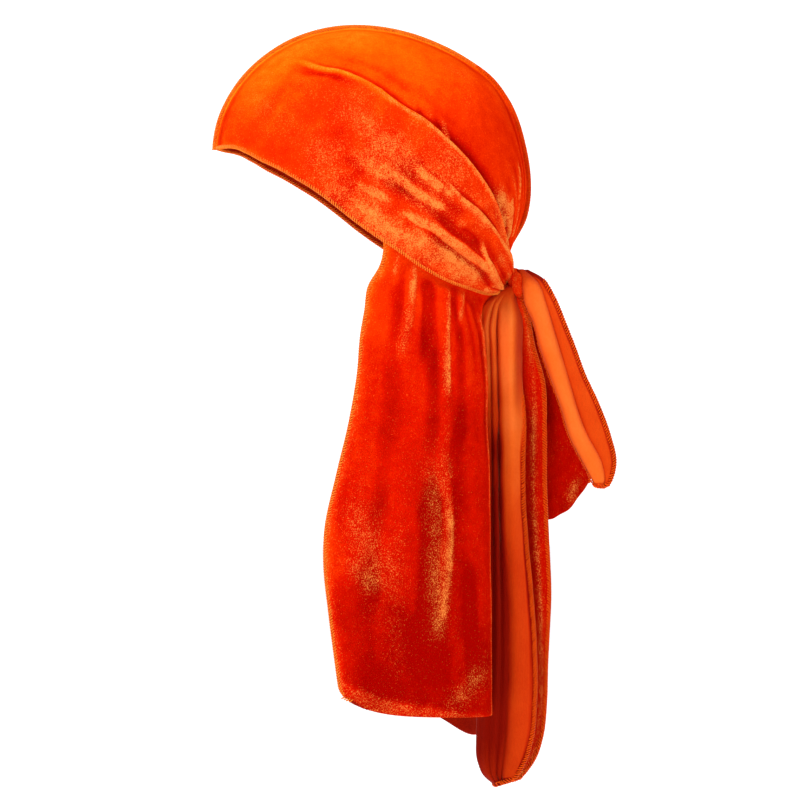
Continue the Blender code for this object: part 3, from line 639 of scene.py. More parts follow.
capHalf = {
    "columns": 150,
    "tail": 10,  # more columns that run on into the knot
    "strapRows": 120,
    "crownRows": 60,
    "foldStep": 0.0048,  # how far the strap's folded edge stands over the crown
    "foldReach": 0.0036,  # half of the cloth taken up in that fold
    "foldRun": (0.20, 0.60),  # where along the half it grows to its full height
    "frontStep": 0.0012,  # the crown just above the fold's first part
    "rollHeight": 0.0019,  # the soft roll in which the fold begins
    "rollRun": (0.15, 0.30),
    "slowWave": 0.0005,
    "fan": 0.00045,  # fine folds that gather towards the knot
    "seamRidge": 0.0012,
    "rightStrength": 0.9,  # creases of the right half against the left one's
    # how much of the pile lies pale: the haze over the strap and the hem; along the fold, the roll and the
    # crests it is a painted highlight
    "haze": 0.31,
    "hazeVaries": 0.22,
    "hazeInFront": 0.10,
    "hemNap": 0.42,
    "foldHighlight": 0.80,
    "rollHighlight": 0.42,
    "crestHighlight": 0.34,
    "sharpCrestHighlight": 0.45,
    # painted shade and light in the pile's colour: deeper in the valleys, behind the fold, under the roll and
    # into the knot, lighter on the roll
    "valleyShade": -0.42,
    "behindFoldShade": -0.30,
    "rollLitTone": 0.36,
    "underRollShade": -0.30,
    "knotShade": -0.35,
    "strapEdge": [
        (0.003, 0.465), (0.057, 0.457), (0.105, 0.478), (0.146, 0.505), (0.2, 0.536), (0.257, 0.575),
        (0.336, 0.636), (0.444, 0.737), (0.526, 0.807), (0.59, 0.857), (0.653, 0.911), (0.742, 0.969),
        (0.812, 1), (0.862, 1.016), (0.916, 1.02),
    ],
    "strapFold": [
        (0.184, 0.079), (0.298, 0.118), (0.412, 0.157), (0.507, 0.215), (0.587, 0.292), (0.666, 0.354),
        (0.748, 0.443), (0.828, 0.551), (0.894, 0.683), (0.923, 0.807), (0.939, 0.9), (0.942, 0.969),
    ],
    "crownTop": (0.368, 0.000),
    "seamEnd": (0.913, 0.861),
    # line, height, width above or behind, width below, fade at its start and end
    "creases": [
        ([(144.3, 92.6), (153.4, 101.7), (159.9, 109.5), (166.4, 114.7), (172.9, 121.2), (179.4, 130.3),
          (184.6, 140.7), (188.5, 151.1), (190.5, 162.8)], 4, 0.8, 5, 0.55, 0.05),
        ([(115.7, 113.4), (123.5, 118.6), (132.6, 125.1), (141.7, 129), (151.5, 136.8), (161.2, 144),
          (170.3, 150.5), (177.5, 157.6), (182, 166.7)], 5.2, 3.6, 1.1, 0.6, 0.05),
        ([(156.7, 127.7), (165.1, 132.9), (170.3, 140.1), (173.6, 148.5)], -1.7, 3.6, 4, 0.4, 0.3),
        ([(172.9, 135.5), (175.5, 147.2), (178.8, 156.3), (181.3, 165.4)], 3.4, 1.6, 2.2, 0.45, 0.05),
        ([(178.1, 151), (181.5, 160.5), (184.9, 168), (187.5, 172)], -3.2, 0.9, 1.5, 0.3, 0.05),
        ([(127.4, 84.8), (136.5, 92.6), (146.9, 101.7), (157.3, 110.2)], 1.3, 1.3, 3.2, 0.5, 0.4),
        ([(106.6, 84.8), (119.6, 96.5), (132.6, 106.9), (145.6, 114.7),
          (155.3, 118.6)], 1.5, 2.6, 1.8, 0.4, 0.4),
        ([(88.4, 97.8), (98.8, 103.7), (110.5, 108.9), (119.6, 114.7)], 1.3, 2.6, 1.5, 0.5, 0.4),
        ([(107.9, 125.1), (118.3, 131.6), (128.7, 136.8), (139.1, 140.7)], 1, 2.2, 2.2, 0.4, 0.4),
        ([(144.3, 136.8), (153.4, 144.6), (162.5, 151.1), (171.6, 159.6),
          (177.5, 166.7)], -1.9, 1.6, 3.4, 0.4, 0.1),
        ([(132, 45), (135, 56), (137.5, 64)], -0.8, 1.6, 1.6, 0.4, 0.2),
        ([(141.7, 50.6), (145, 58.1), (148.6, 68)], -1.1, 1.2, 1.4, 0.3, 0.2),
        ([(147.8, 56.5), (150.3, 65), (153.4, 75.1)], 1.4, 1.2, 1.5, 0.3, 0.2),
        ([(194.3, 101.7), (194.7, 114.1), (193.7, 127.1), (191.1, 138.8)], 1.9, 0.9, 3.4, 0.4, 0.1),
        ([(198.2, 78.3), (199.6, 94.6), (199.2, 110.8), (197, 127.1),
          (193.1, 138.8)], 1.4, 1, 1.6, 0.4, 0.1),
    ],
    # line, radius in mm, strength: pale patches of crushed pile, and painted highlights where they run along
    # the fold ridges
    "pale": [
        ([(88.4, 52.3), (102.7, 65.3), (115.7, 77), (128.7, 87.4), (140.4, 96.5), (150.8, 104.3),
          (161.2, 113.4)], 8, 0.5),
        ([(85.2, 78.3), (102.7, 88.7), (118.3, 97.8), (131.3, 108.2), (144.3, 114.7),
          (154.7, 119.9)], 6.5, 0.62),
        ([(130.7, 86.8), (141.7, 98.5), (151.5, 106.9)], 2.4, 0.75),
        ([(115.7, 95.2), (126.1, 103), (136.5, 110.8)], 2.4, 0.7),
        ([(89.7, 99.1), (102.7, 105.6), (114.4, 113.4)], 2.2, 0.72),
        ([(120.9, 118.6), (128.7, 122.5), (136.5, 129)], 2.2, 0.8),
        ([(106.6, 126.4), (118.3, 132.9), (133.9, 139.4)], 3.6, 0.55),
        ([(144.3, 138.8), (154.7, 147.2), (166.4, 156.3), (175.5, 162.8)], 8.5, 1),
        ([(137.2, 125.1), (151.5, 135.5), (165.1, 145.9), (174.2, 155)], 1.8, 0.95),
        ([(173.6, 139.4), (176.2, 148.5), (179.4, 160.2)], 2.8, 0.95),
        ([(183.6, 110), (187, 122), (189.5, 134)], 8, 1),
        ([(187.5, 104), (190.5, 116), (191, 130)], 5, 1),
        ([(94.9, 116), (113, 128), (133, 141), (150, 150)], 8, 0.72),
        ([(75, 95), (95, 108), (112, 121)], 8, 0.3),
        ([(70, 102), (84, 112), (99, 122)], 7.5, 0.5),
        ([(146.9, 19.8), (157.3, 25), (166.4, 31.5)], 7, 0.25),
        ([(20.2, 38), (31.2, 44.5), (41.6, 53.6)], 8, 0.22),
        ([(55.9, 71.8), (70.2, 78.3), (81.9, 90)], 9, 0.25),
        ([(75.4, 114.1), (85.2, 120.6), (94.9, 127.7)], 3.6, 0.32),
        ([(144.3, 92.6), (159.9, 108.5), (172.9, 120.4), (184.6, 139.9), (189.9, 160)], 1, 0.75),
    ],
    # back, down, how orange: painted light, more orange on the top and front, and painted shade, deeper red
    # at the back and low down, with the pile's own changes
    "tones": [
        (10, 70, 0.58), (25, 40, 0.96), (50, 15, 1.06), (90, 5, 1.06), (130, 20, 0.88), (165, 38, 0.68),
        (190, 75, 0.46), (198, 120, 0.46), (120, 45, 0.74), (165, 80, 0.46), (45, 62, 0.56),
        (90, 100, 0.54), (60, 85, 0.52), (80, 40, 0.6), (100, 70, 0.47), (130, 108, 0.48), (150, 130, 0.5),
        (170, 145, 0.64), (185, 130, 0.48), (110, 128, 0.66), (155, 95, 0.52), (188, 122, 0.72),
    ],
}


def toneField(rows, points, spread=0.024):
    # a smooth blend between a few places, whose depth is read from the side
    y = points[..., 1] + capForm["originBack"] * capForm["length"]
    total = weight = 0
    for back, down, value in rows:
        w = np.exp(-((y - back / 1000) ** 2 + (points[..., 2] + down / 1000) ** 2) / spread**2) + 1e-6
        total, weight = total + w * value, weight + w
    return total / weight


def panelGrid():
    # the half's grid on the unrolled egg, how far along it is, and across: 1 at the fold
    c = capHalf
    u = np.linspace(0, 1, c["columns"]) ** 0.9
    strap = 1 - (1 - np.linspace(0, 1, c["strapRows"])) ** 1.6
    both = np.linspace(0, 1, c["crownRows"] + 1) ** 1.6
    brow = rimArc(c["strapEdge"][0], c["strapFold"][0], strap)
    over = rimArc(c["strapFold"][0], c["crownTop"], both)
    seam = rimArc(c["crownTop"], c["seamEnd"], u)
    edge = along(np.vstack([brow[:1], discSeen(c["strapEdge"], 0.001)[1:]]), u)
    fold = along(np.vstack([brow[-1:], discSeen(c["strapFold"], 0.0058)[1:]]), u)
    low = patch(edge, fold, brow, edge[-1] + (fold[-1] - edge[-1]) * strap[:, None], u, strap)
    high = patch(fold, seam, over, fold[-1] + (seam[-1] - fold[-1]) * both[:, None], u, both)
    disc = np.concatenate([low, high[:, 1:]], axis=1)
    disc = disc * np.minimum(1, rimTurn() / np.maximum(np.linalg.norm(disc, axis=-1, keepdims=True), 1e-9))
    return disc, u[:, None], np.concatenate([strap, 1 + both[1:]])[None, :]


def capHalfShape(strength):
    c = capHalf
    disc, length, across = panelGrid()
    base, normal = onEgg(disc), eggNormals(disc)
    run = lengthAlong(base, 1)
    width = run[:, c["strapRows"] - 1 : c["strapRows"]]
    fromFold = run - width
    reach = np.minimum(c["foldReach"], 0.22 * width)

    # the folded edge stands over the crown, and begins in a soft roll
    step = c["foldStep"] * smooth(length, *c["foldRun"]) * (1 - 0.35 * smooth(length, 0.85, 1.0))
    rise = step * smooth(np.minimum(across, 1), 0.25, 0.90) * (1 - smooth(fromFold, -0.5 * reach, reach))
    rise = rise + 0.12 * step * bump(fromFold, -1.1 * reach, reach)
    frontStep = smooth(length, *c["rollRun"]) * (1 - smooth(length, 0.4, 0.7))
    rise = rise + c["frontStep"] * frontStep * bump(fromFold, 1.5 * reach, 0.006)
    roll = smooth(length, *c["rollRun"]) * (1 - 0.6 * smooth(length, 0.34, 0.55))
    rollLift = c["rollHeight"] * roll * bump(fromFold, -0.0006, 0.0019)
    under = roll * (1 - smooth(length, 0.26, 0.42)) * bump(fromFold, -0.0060, 0.0034)
    # the strap's low edge lies over the flap
    overFlap = (wall + 1.6 * clothWall["gap"]) * smooth(length, 0.46, 0.60) * (1 - smooth(across, 0.3, 0.6))
    raised = np.maximum(rise, overFlap)

    flatPoints, flatNormals = base.reshape(-1, 3), normal.reshape(-1, 3)
    crease = strength * creaseLift(c["creases"], lineOnCap, flatPoints, flatNormals).reshape(run.shape)
    slow = c["slowWave"] * ripple(base, 0.035, 3) * smooth(length, 0.2, 0.6)
    slow = slow + c["fan"] * np.sin(across * 34 + 2.0 * np.sin(length * 6)) * smooth(length, 0.60, 0.92)
    nearSeam = bump((rimTurn() - np.linalg.norm(disc, axis=-1)) * capForm["width"] / 2, 0, 0.006)
    lift = wall / 2 + rollLift - 0.0006 * under + raised + np.maximum(crease, -0.7 * raised)
    lift = lift + slow * (1 - nearSeam) + c["seamRidge"] * nearSeam
    lift = np.maximum(lift, wall / 2 + overFlap * 0.98)
    # the fold takes cloth up on both of its sides
    share = np.clip(fromFold / reach, -1, 1)
    shift = -0.80 * reach * smooth(length, 0.16, 0.5) * np.sin(math.pi * share) * (1 - share**2)
    middle = base + normal * lift[..., None] + unit(np.gradient(base, axis=1)) * shift[..., None]

    # pile that lies pale: patches and a haze over the strap and the hem; painted highlights along the fold,
    # the roll and each crest
    napAndHighlight = paleField(c["pale"], lineOnCap, flatPoints, flatNormals).reshape(lift.shape)
    hemBand = bump(fromFold, -width, 0.0030)
    onStrap = 1 - smooth(across, 0.93, 1.05)
    haze = c["haze"] + c["hazeVaries"] * np.clip(ripple(base, 0.030, 41), -1, 1)
    haze = haze * smooth(length, 0.22, 0.50) * onStrap
    haze = haze + c["hazeInFront"] * (1 + ripple(base, 0.022, 44)) * (1 - smooth(length, 0.2, 0.5)) * onStrap
    napAndHighlight = 1 - (1 - napAndHighlight) * (1 - haze)
    for band in (
        c["hemNap"] * hemBand,
        c["foldHighlight"] * bump(fromFold, -0.5 * reach, 0.0010) * smooth(length, 0.22, 0.5),
        c["rollHighlight"] * roll * bump(fromFold, -0.0008, 0.0018),
    ):
        napAndHighlight = np.maximum(napAndHighlight, band)
    napAndHighlight = napAndHighlight + c["crestHighlight"] * np.clip(crests(lift) / 0.0005, -1, 1) * smooth(length, 0.3, 0.6)
    napAndHighlight = napAndHighlight + c["sharpCrestHighlight"] * np.clip(crests(lift, 3) / 0.0003, 0, 1) * smooth(length, 0.4, 0.7)
    napAndHighlight = np.clip(napAndHighlight, 0, 1)

    # the pile's colour with painted light and shade: lighter along the hem at the brow, painted shade under
    # the hem's stitches further back, deeper in the valleys, behind the fold and under the roll, and lighter
    # on the roll
    tone = toneField(c["tones"], base) + (0.24 - 0.44 * smooth(length, 0.25, 0.5)) * hemBand
    tone = tone + (0.06 * ripple(base, 0.03, 17) + 0.04 * ripple(base, 0.011, 18)) * (0.35 + 0.65 * onStrap)
    tone = tone + c["valleyShade"] * np.clip(-crests(lift, 7) / 0.0008, 0, 1)
    tone = tone + c["behindFoldShade"] * bump(fromFold, 1.6 * reach, 0.0040) * smooth(length, 0.45, 0.7)
    tone = tone + c["rollLitTone"] * roll * bump(fromFold, -0.0006, 0.0022) + c["underRollShade"] * under

    # the last columns run on into the knot
    tail = np.linspace(0, 1, c["tail"] + 1)[1:, None, None]
    last, heart = middle[-1:], knotMiddle + np.array([0.004, -0.0038, 0.001])
    goal = heart + (last - heart) * np.array([0.5, 0.25, 0.62])
    onwards = last + (goal - last) * tail + np.array([0.0015, 0.0, 0.0]) * np.sin(tail * math.pi)
    middle = np.concatenate([middle, onwards])
    normal, tone, napAndHighlight = (np.concatenate([field, np.repeat(field[-1:], c["tail"], axis=0)])
                         for field in (normal, tone, napAndHighlight))
    # painted shade: the pile's colour deepens as the tail runs into the knot
    tone[-c["tail"] :] += c["knotShade"] * tail[..., 0]
    return middle, normalsOf(middle, normal), tone, napAndHighlight


def makeCapHalves():
    for name, side, strength in (("left_half", 1, 1.0), ("right_half", -1, capHalf["rightStrength"])):
        middle, normal, tone, napAndHighlight = capHalfShape(strength)
        mirror = np.array([side, 1, 1])
        middle, normal = middle * mirror, normal * mirror
        half = clothPiece(name + "_velvet", middle, normal, tone, napAndHighlight, velvet, knit, name)
        overlocked(name + "_edge_stitches", [gridEdge(middle, normal, "firstColumn")])
    print("cap halves made")


makeCapHalves()

middleSeam = {
    "count": 330, "rows": 9, "wave": 0.00035, "tail": 8,
    "stitchHeight": 0.0010,  # half of it
    "shadedFrom": 0.62,  # share of its length from which its thread is the copy painted in shade
}


def makeMiddleSeam():
    m = middleSeam
    count, rows = m["count"], m["rows"]
    rim = rimArc(capHalf["strapEdge"][0], capHalf["seamEnd"], np.linspace(0, 1, count))
    rim = rim / rimTurn() * (math.pi / 2)
    share = np.linspace(0, 1, rows)
    top = wall + clothWall["seamHeight"]
    sink = 1 - 0.75 * smooth(np.linspace(0, 1, count), 0.93, 1.0)
    middle = np.stack([lifted(rim, top * s * sink) for s in share], 1)
    goal = knotMiddle + np.array([0, -0.0035, 0.004])
    tail = np.linspace(0, 1, m["tail"] + 1)[1:, None, None]
    middle = np.concatenate([middle, middle[-1:] + (goal - middle[-1:]) * tail])
    station = np.arange(len(middle))[:, None]
    middle[..., 0] += m["wave"] * share[None] * (np.sin(station * 0.21) + 0.6 * np.sin(station * 0.083 + 1))
    normal = np.zeros_like(middle)
    normal[..., 0] = clothWall["seamThickness"] / wall
    # painted light: the seam's pile is lighter and paler towards its front and top
    bright = 1 - smooth(station / count, 0.45, 0.75)
    tone = np.repeat(toneField(capHalf["tones"], middle[:, :1]), rows, axis=1) + 0.10 + 0.30 * bright
    napAndHighlight = (0.05 + 0.08 * bright) * (0.5 + 0.5 * share[None])
    clothPiece("middle_seam_fold", middle, normal, tone, napAndHighlight, velvet, velvet, "middle_seam")
    edge, turn = gridEdge(middle, normal, "lastColumn"), int(m["shadedFrom"] * count)
    upper, lower = [part[: turn + 1] for part in edge], [part[turn:] for part in edge]
    overlocked("middle_seam_stitches", [upper], m["stitchHeight"])
    overlocked("middle_seam_stitches_low", [lower], m["stitchHeight"], yarn=shadedThread)
    print("middle seam made")


makeMiddleSeam()

neckFlap = {
    "downRows": 200,
    "underRows": 9,  # the first of them lie under the straps
    "columns": 208,
    "drop": 0.275,
    "overlap": 0.011,
    "ruffle": 0.0024,
    "slowWave": 0.0006,
    "edge": [(0.540, 0.857), (0.590, 0.904), (0.685, 0.958), (0.780, 1.001), (0.853, 1.028), (0.907, 1.038)],
    # share of the drop, front, back, half width, squareness, dent behind
    "rows": [
        (0, 0.54, 0.846, 0.88, 2.3, 0.004), (0.04, 0.522, 0.86, 0.87, 2.7, 0.018),
        (0.08, 0.494, 0.862, 0.87, 3.1, 0.03), (0.14, 0.481, 0.866, 0.86, 3.6, 0.044),
        (0.19, 0.469, 0.87, 0.85, 3.8, 0.05), (0.28, 0.458, 0.876, 0.82, 4, 0.058),
        (0.38, 0.434, 0.881, 0.79, 4.1, 0.064), (0.5, 0.394, 0.885, 0.76, 4.2, 0.07),
        (0.63, 0.356, 0.887, 0.74, 4.4, 0.076), (0.7, 0.354, 0.888, 0.74, 4.4, 0.08),
        (0.8, 0.368, 0.889, 0.73, 4.4, 0.084), (0.9, 0.386, 0.89, 0.73, 4.4, 0.087),
        (1, 0.405, 0.891, 0.72, 4.4, 0.09),
    ],
    # across from the side edge to the middle, width, height at the top and at the hem
    "gathers": [
        (0.27, 0.05, 0.4, 0.2), (0.41, 0.04, 0.4, -0.3), (0.5, 0.03, 0.3, 0.1), (0.57, 0.024, 0.3, 0.1),
        (0.7, 0.045, 0.6, 0.6), (0.8, 0.04, 0.5, -0.5), (0.91, 0.05, 0.9, 0.9),
    ],
    "corner": 0.040,  # how much higher the hem is at its ends, as a share of the drop
    "round": 0.075,
    "roundFrom": 0.965,  # share of the drop at which its corners turn in
    "far": 0.068,  # how much lower the hem hangs on the far side
    "creases": [
        ([(120.9, 141), (118.9, 152.4), (116.4, 168.1)], 1, 1.6, 2.4, 0.1, 0.6),
        ([(131.3, 146.5), (129.3, 166.1), (128.1, 185.6), (123.5, 205.1),
          (119.6, 224)], 2, 1.3, 3.4, 0.1, 0.6),
        ([(152.1, 158.2), (151.5, 182.3), (151.5, 208.3), (152.1, 237.6), (152.8, 257.1), (150.2, 281.1),
          (153.4, 305.8), (154.1, 331.8), (150.8, 364.3), (149.5, 396.8)], 1.5, 1.1, 4.2, 0.05, 0.3),
        ([(161.2, 163.4), (160.6, 175.8), (158.6, 200.1)], 1.4, 1.4, 2, 0.05, 0.7),
        ([(165.8, 166.7), (170.7, 176.9), (173.6, 189.6), (175.2, 215.1)], 1.2, 1.4, 2.2, 0.05, 0.6),
        ([(140.4, 152.3), (139.1, 175.8), (136.5, 201.8), (131.3, 237.8)], -1.8, 4, 5, 0.05, 0.7),
        ([(104, 180), (100, 240), (96, 300), (92, 350)], 1.2, 9, 9, 0.4, 0.4),
        ([(128, 260), (122, 320), (118, 390), (120, 440)], 1.6, 10, 12, 0.4, 0.2),
        ([(166, 330), (168, 390), (170, 440)], -1.2, 6, 6, 0.5, 0.2),
    ],
    # pale patches of crushed pile, and painted highlights where they run along the creases
    "pale": [
        ([(130, 151.1), (129.3, 166.1), (128.1, 177.8)], 2, 0.95),
        ([(126.8, 179.1), (124.2, 195.3), (120.9, 214.8)], 4, 0.45),
        ([(120.2, 143.3), (118.3, 152.4), (116.4, 160.1)], 1.6, 0.6),
        ([(151.5, 167.4), (151.5, 188.8), (151.5, 208.3), (152.1, 237.6)], 1, 0.85),
        ([(150.8, 205.6), (151, 220), (150.4, 234)], 2.6, 0.5),
        ([(152.1, 276.6), (154.1, 292.8)], 1.4, 0.6),
        ([(141, 275), (144, 310), (145.5, 345), (143, 385)], 8.5, 0.5),
        ([(90, 300), (99, 335), (106, 372)], 15, 0.36),
        ([(152.8, 305.8), (154.1, 331.8), (151.5, 364.3), (147.9, 396.8)], 2, 0.9),
        ([(144.3, 344.8), (146.9, 370.8), (144.3, 396.8)], 5.5, 0.6),
        ([(89.7, 318.8), (100.1, 335.1), (115.7, 357.8)], 8, 0.3),
        ([(85.2, 344.8), (98.2, 357.8), (111.2, 365.6)], 5, 0.5),
        ([(176.2, 413.1), (166.4, 429.3), (152.1, 441)], 7, 0.55),
        ([(110.5, 144.6), (106, 156.3), (100.1, 169.3)], 2.5, 0.6),
        ([(162, 168), (160.6, 180), (159, 190.1)], 1.6, 0.6),
    ],
    # back, down, how orange: painted light higher up and painted shade, deeper red, low down, with the pile's
    # own changes
    "tones": [
        (112, 150, 0.62), (108, 180, 0.48), (102, 215, 0.42), (140, 175, 0.52), (165, 200, 0.38),
        (130, 215, 0.34), (120, 260, 0.32), (165, 270, 0.24), (95, 260, 0.4), (115, 300, 0.32),
        (150, 300, 0.24), (88, 340, 0.38), (130, 350, 0.18), (168, 350, 0.18), (90, 400, 0.22),
        (120, 400, -0.04), (160, 400, 0.06), (110, 435, -0.04), (165, 435, 0.06),
    ],
}


def flapEdge(side, raised):
    spots = [(b, d - raised / capForm["crownHeight"]) for b, d in reversed(neckFlap["edge"])]
    line = discOf(spots)
    line[0] *= math.pi / 2 / np.linalg.norm(line[0])
    return along(line, side)


def flapGrid():
    f = neckFlap
    w = np.linspace(-1, 1, f["columns"])
    side, sign = np.abs(w), np.where(w < 0, 1.0, -1.0)
    mirror = np.stack([sign, np.ones_like(w), np.ones_like(w)], -1)
    rows = [lifted(flapEdge(side, raised), wall / 2 + 0 * side) * mirror
            for raised in np.linspace(f["overlap"], 0, f["underRows"])]
    start = rows[-1]
    slope = (rows[-1] - rows[-3]) / (2 * f["overlap"] / (f["underRows"] - 1))
    hem = -capForm["crownHeight"] - f["drop"] + f["drop"] * f["corner"] * side**9
    hem = hem - f["drop"] * f["far"] * bump(w, 0.50, 0.15)
    for drop in np.linspace(0, 1, f["downRows"] - f["underRows"] + 1)[1:] ** 1.15:
        front, back, half, square, dent = readRows(f["rows"], drop)
        halfWidth = half * capForm["width"] / 2
        cut = np.clip((drop - f["roundFrom"]) / (1 - f["roundFrom"]), 0, 1)
        inset = f["round"] * (1 - math.sqrt(1 - cut * cut))
        even = side ** (square / 2) / (side ** (square / 2) + (1 - side) ** (square / 2))
        reach = inset + (1 - inset) * np.maximum(np.cos(even * math.pi / 2), 0) ** (2 / square)
        turn = np.arccos(np.clip(reach, 0, 1) ** (square / 2))
        x = sign * np.sin(turn) ** (2 / square) * halfWidth
        y = (front + (back - front) * reach - capForm["originBack"]) * capForm["length"]
        y = y - dent * capForm["length"] * bump(x, 0, 0.4 * halfWidth)
        z = start[:, 2] * (1 - drop) + hem * drop
        follow = start + slope * (drop * f["drop"])
        hang = 1 - (1 - np.clip(drop / 0.10, 0, 1)) ** 2
        row = follow * (1 - hang) + np.stack([x, y, z], -1) * hang
        row[:, 2] = z
        rows.append(row)
    return np.array(rows), w


def makeNeckFlap():
    f = neckFlap
    grid, w = flapGrid()
    under = f["underRows"] - 1
    normal = normalsOf(grid, grid - grid.mean(axis=1, keepdims=True))
    drop = np.clip((grid[under : under + 1, :, 2] - grid[..., 2]) / f["drop"], 0, 1)
    shift = 0
    for acrossAt, width, top, hem in f["gathers"]:
        height = top * smooth(drop, 0.005, 0.09) * (1 - smooth(drop, 0.12, 0.55))
        height = height + hem * smooth(drop, 0.15, 0.8)
        wide = width * (1 + 1.1 * smooth(drop, 0.1, 0.7))
        shift = shift + f["ruffle"] * height * bump(1 - np.abs(w), acrossAt, wide)
    sideOn = grid.reshape(-1, 3) * np.array([0.0, 1.0, 1.0])
    outwards = np.tile(np.array([1.0, 0, 0]), (len(sideOn), 1))
    facing = smooth(np.abs(normal[..., 0]), 0.15, 0.6)
    crease = creaseLift(f["creases"], lineInAir, sideOn, outwards).reshape(drop.shape)
    shift = shift + crease * facing * smooth(drop, 0.0, 0.03)
    shift = shift + f["slowWave"] * ripple(grid, 0.05, 8) * smooth(drop, 0.05, 0.3)
    middle = grid + normal * shift[..., None]

    # painted highlights at its edges, where it turns away and on its crests, and painted shade in the
    # valleys, over pale patches of pile
    napAndHighlight = 0.88 * paleField(f["pale"], lineInAir, sideOn, outwards).reshape(drop.shape) * facing
    edgeHighlight = np.maximum(bump(np.abs(w)[None] + 0 * drop, 1.0, 0.034), 0.8 * bump(drop, 1.0, 0.012))
    turned = bump(np.abs(normal[..., 0]), 0.12, 0.12) * smooth(drop, 0.0, 0.05)
    napAndHighlight = np.maximum(napAndHighlight, np.maximum(0.56 * edgeHighlight, 0.60 * turned))
    napAndHighlight = np.clip(napAndHighlight + 0.2 * np.clip(crests(shift) / 0.0006, 0, 1), 0, 1)
    tone = toneField(f["tones"], grid) - 0.35 * np.clip(-crests(shift, 8) / 0.0006, 0, 1)
    tone = tone + 0.06 * ripple(grid, 0.03, 19) + 0.35 * edgeHighlight + 0.2 * turned
    normal = normalsOf(middle, normal)
    flap = clothPiece("neck_flap_velvet", middle, normal, tone, napAndHighlight, velvet, knit, "neck_flap")
    # painted shade on its inside, deeper near the hem
    setBack(flap, 0.30 - 0.42 * smooth(drop, 0.88, 0.95), 0 * drop)
    runs = [gridEdge(middle[under:], normal[under:], edge) for edge in ("firstColumn", "lastColumn")]
    overlocked("neck_flap_edge_stitches", runs)
    print("neck flap made")


makeNeckFlap()

# The two ends and the loop hang from the knot. In their rows, all but the drop are in
# strap widths: back from the knot, or out to the wearer's left for gap, bulge and side.


def hung(side, back, down):
    # out to the left and back in strap widths, down in metres, from the knot
    width = tie["width"]
    return np.stack([side * width, knotMiddle[1] + back * width, knotMiddle[2] - down], -1)


def cornered(share, corner):
    # lines across a strap's end curve up at its two corners
    return 1 - corner * np.abs(2 * share - 1) ** 3.5


def waved(middle, guide, height, size, seed):
    # the grid with slow waves, and its normals
    middle = middle + normalsOf(middle, guide) * (height * ripple(middle, size, seed))[..., None]
    return middle, normalsOf(middle, guide)


def stitchedEdge(middle, sides, band=0.0036):
    # 1 under the overlock along the first and last columns and rows that are asked for
    far = np.full(middle.shape[:2], 1.0)
    for wanted, line in zip(sides, (middle[:, :1], middle[:, -1:], middle[:1], middle[-1:])):
        if wanted:
            far = np.minimum(far, np.linalg.norm(middle - line, axis=-1))
    return 1 - smooth(far, 0.8 * band, 1.1 * band)


longEnd = {
    "columns": 74,
    "downRows": 180,
    "length": 0.323,
    "tip": 0.012,
    "turned": 0.46,  # share of the width at which the cloth turns back
    "bareRows": 30,  # without stitches at the top of the near edge, which is rolled under
    "band": 1.3,  # of its overlock, against the cap's
    "wave": 0.0005,
    # folds that run along it: share of the width, height, width
    "ridges": [(0.09, 0.040, 0.055), (0.196, -0.050, 0.016), (0.228, 0.016, 0.02),
               (0.257, -0.024, 0.014), (0.30, 0.016, 0.03)],
    # share of the drop, fold, near edge, far edge, gap between layers, bulge, side
    "rows": [
        (0, -0.062, 0.014, 0.024, 0.034, 0.004, 0.15), (0.03, -0.19, 0.032, 0.05, 0.04, 0.012, 0.15),
        (0.06, -0.235, 0.058, 0.08, 0.06, 0.02, 0.13), (0.12, -0.238, 0.061, 0.12, 0.09, 0.035, 0.09),
        (0.185, -0.23, 0.06, 0.18, 0.093, 0.038, 0.065), (0.286, -0.222, 0.056, 0.194, 0.095, 0.04, 0.048),
        (0.4, -0.215, 0.052, 0.196, 0.095, 0.04, 0.04), (0.517, -0.215, 0.074, 0.212, 0.09, 0.035, 0.036),
        (0.608, -0.222, 0.103, 0.224, 0.088, 0.03, 0.033),
        (0.728, -0.235, 0.128, 0.208, 0.085, 0.025, 0.03), (0.829, -0.25, 0.13, 0.196, 0.078, 0.018, 0.03),
        (0.909, -0.252, 0.104, 0.168, 0.075, 0.012, 0.03), (0.954, -0.24, 0.058, 0.112, 0.072, 0.01, 0.03),
        (0.98, -0.205, 0.01, 0.05, 0.07, 0.008, 0.03), (1, -0.13, -0.045, -0.02, 0.068, 0.006, 0.03),
    ],
}


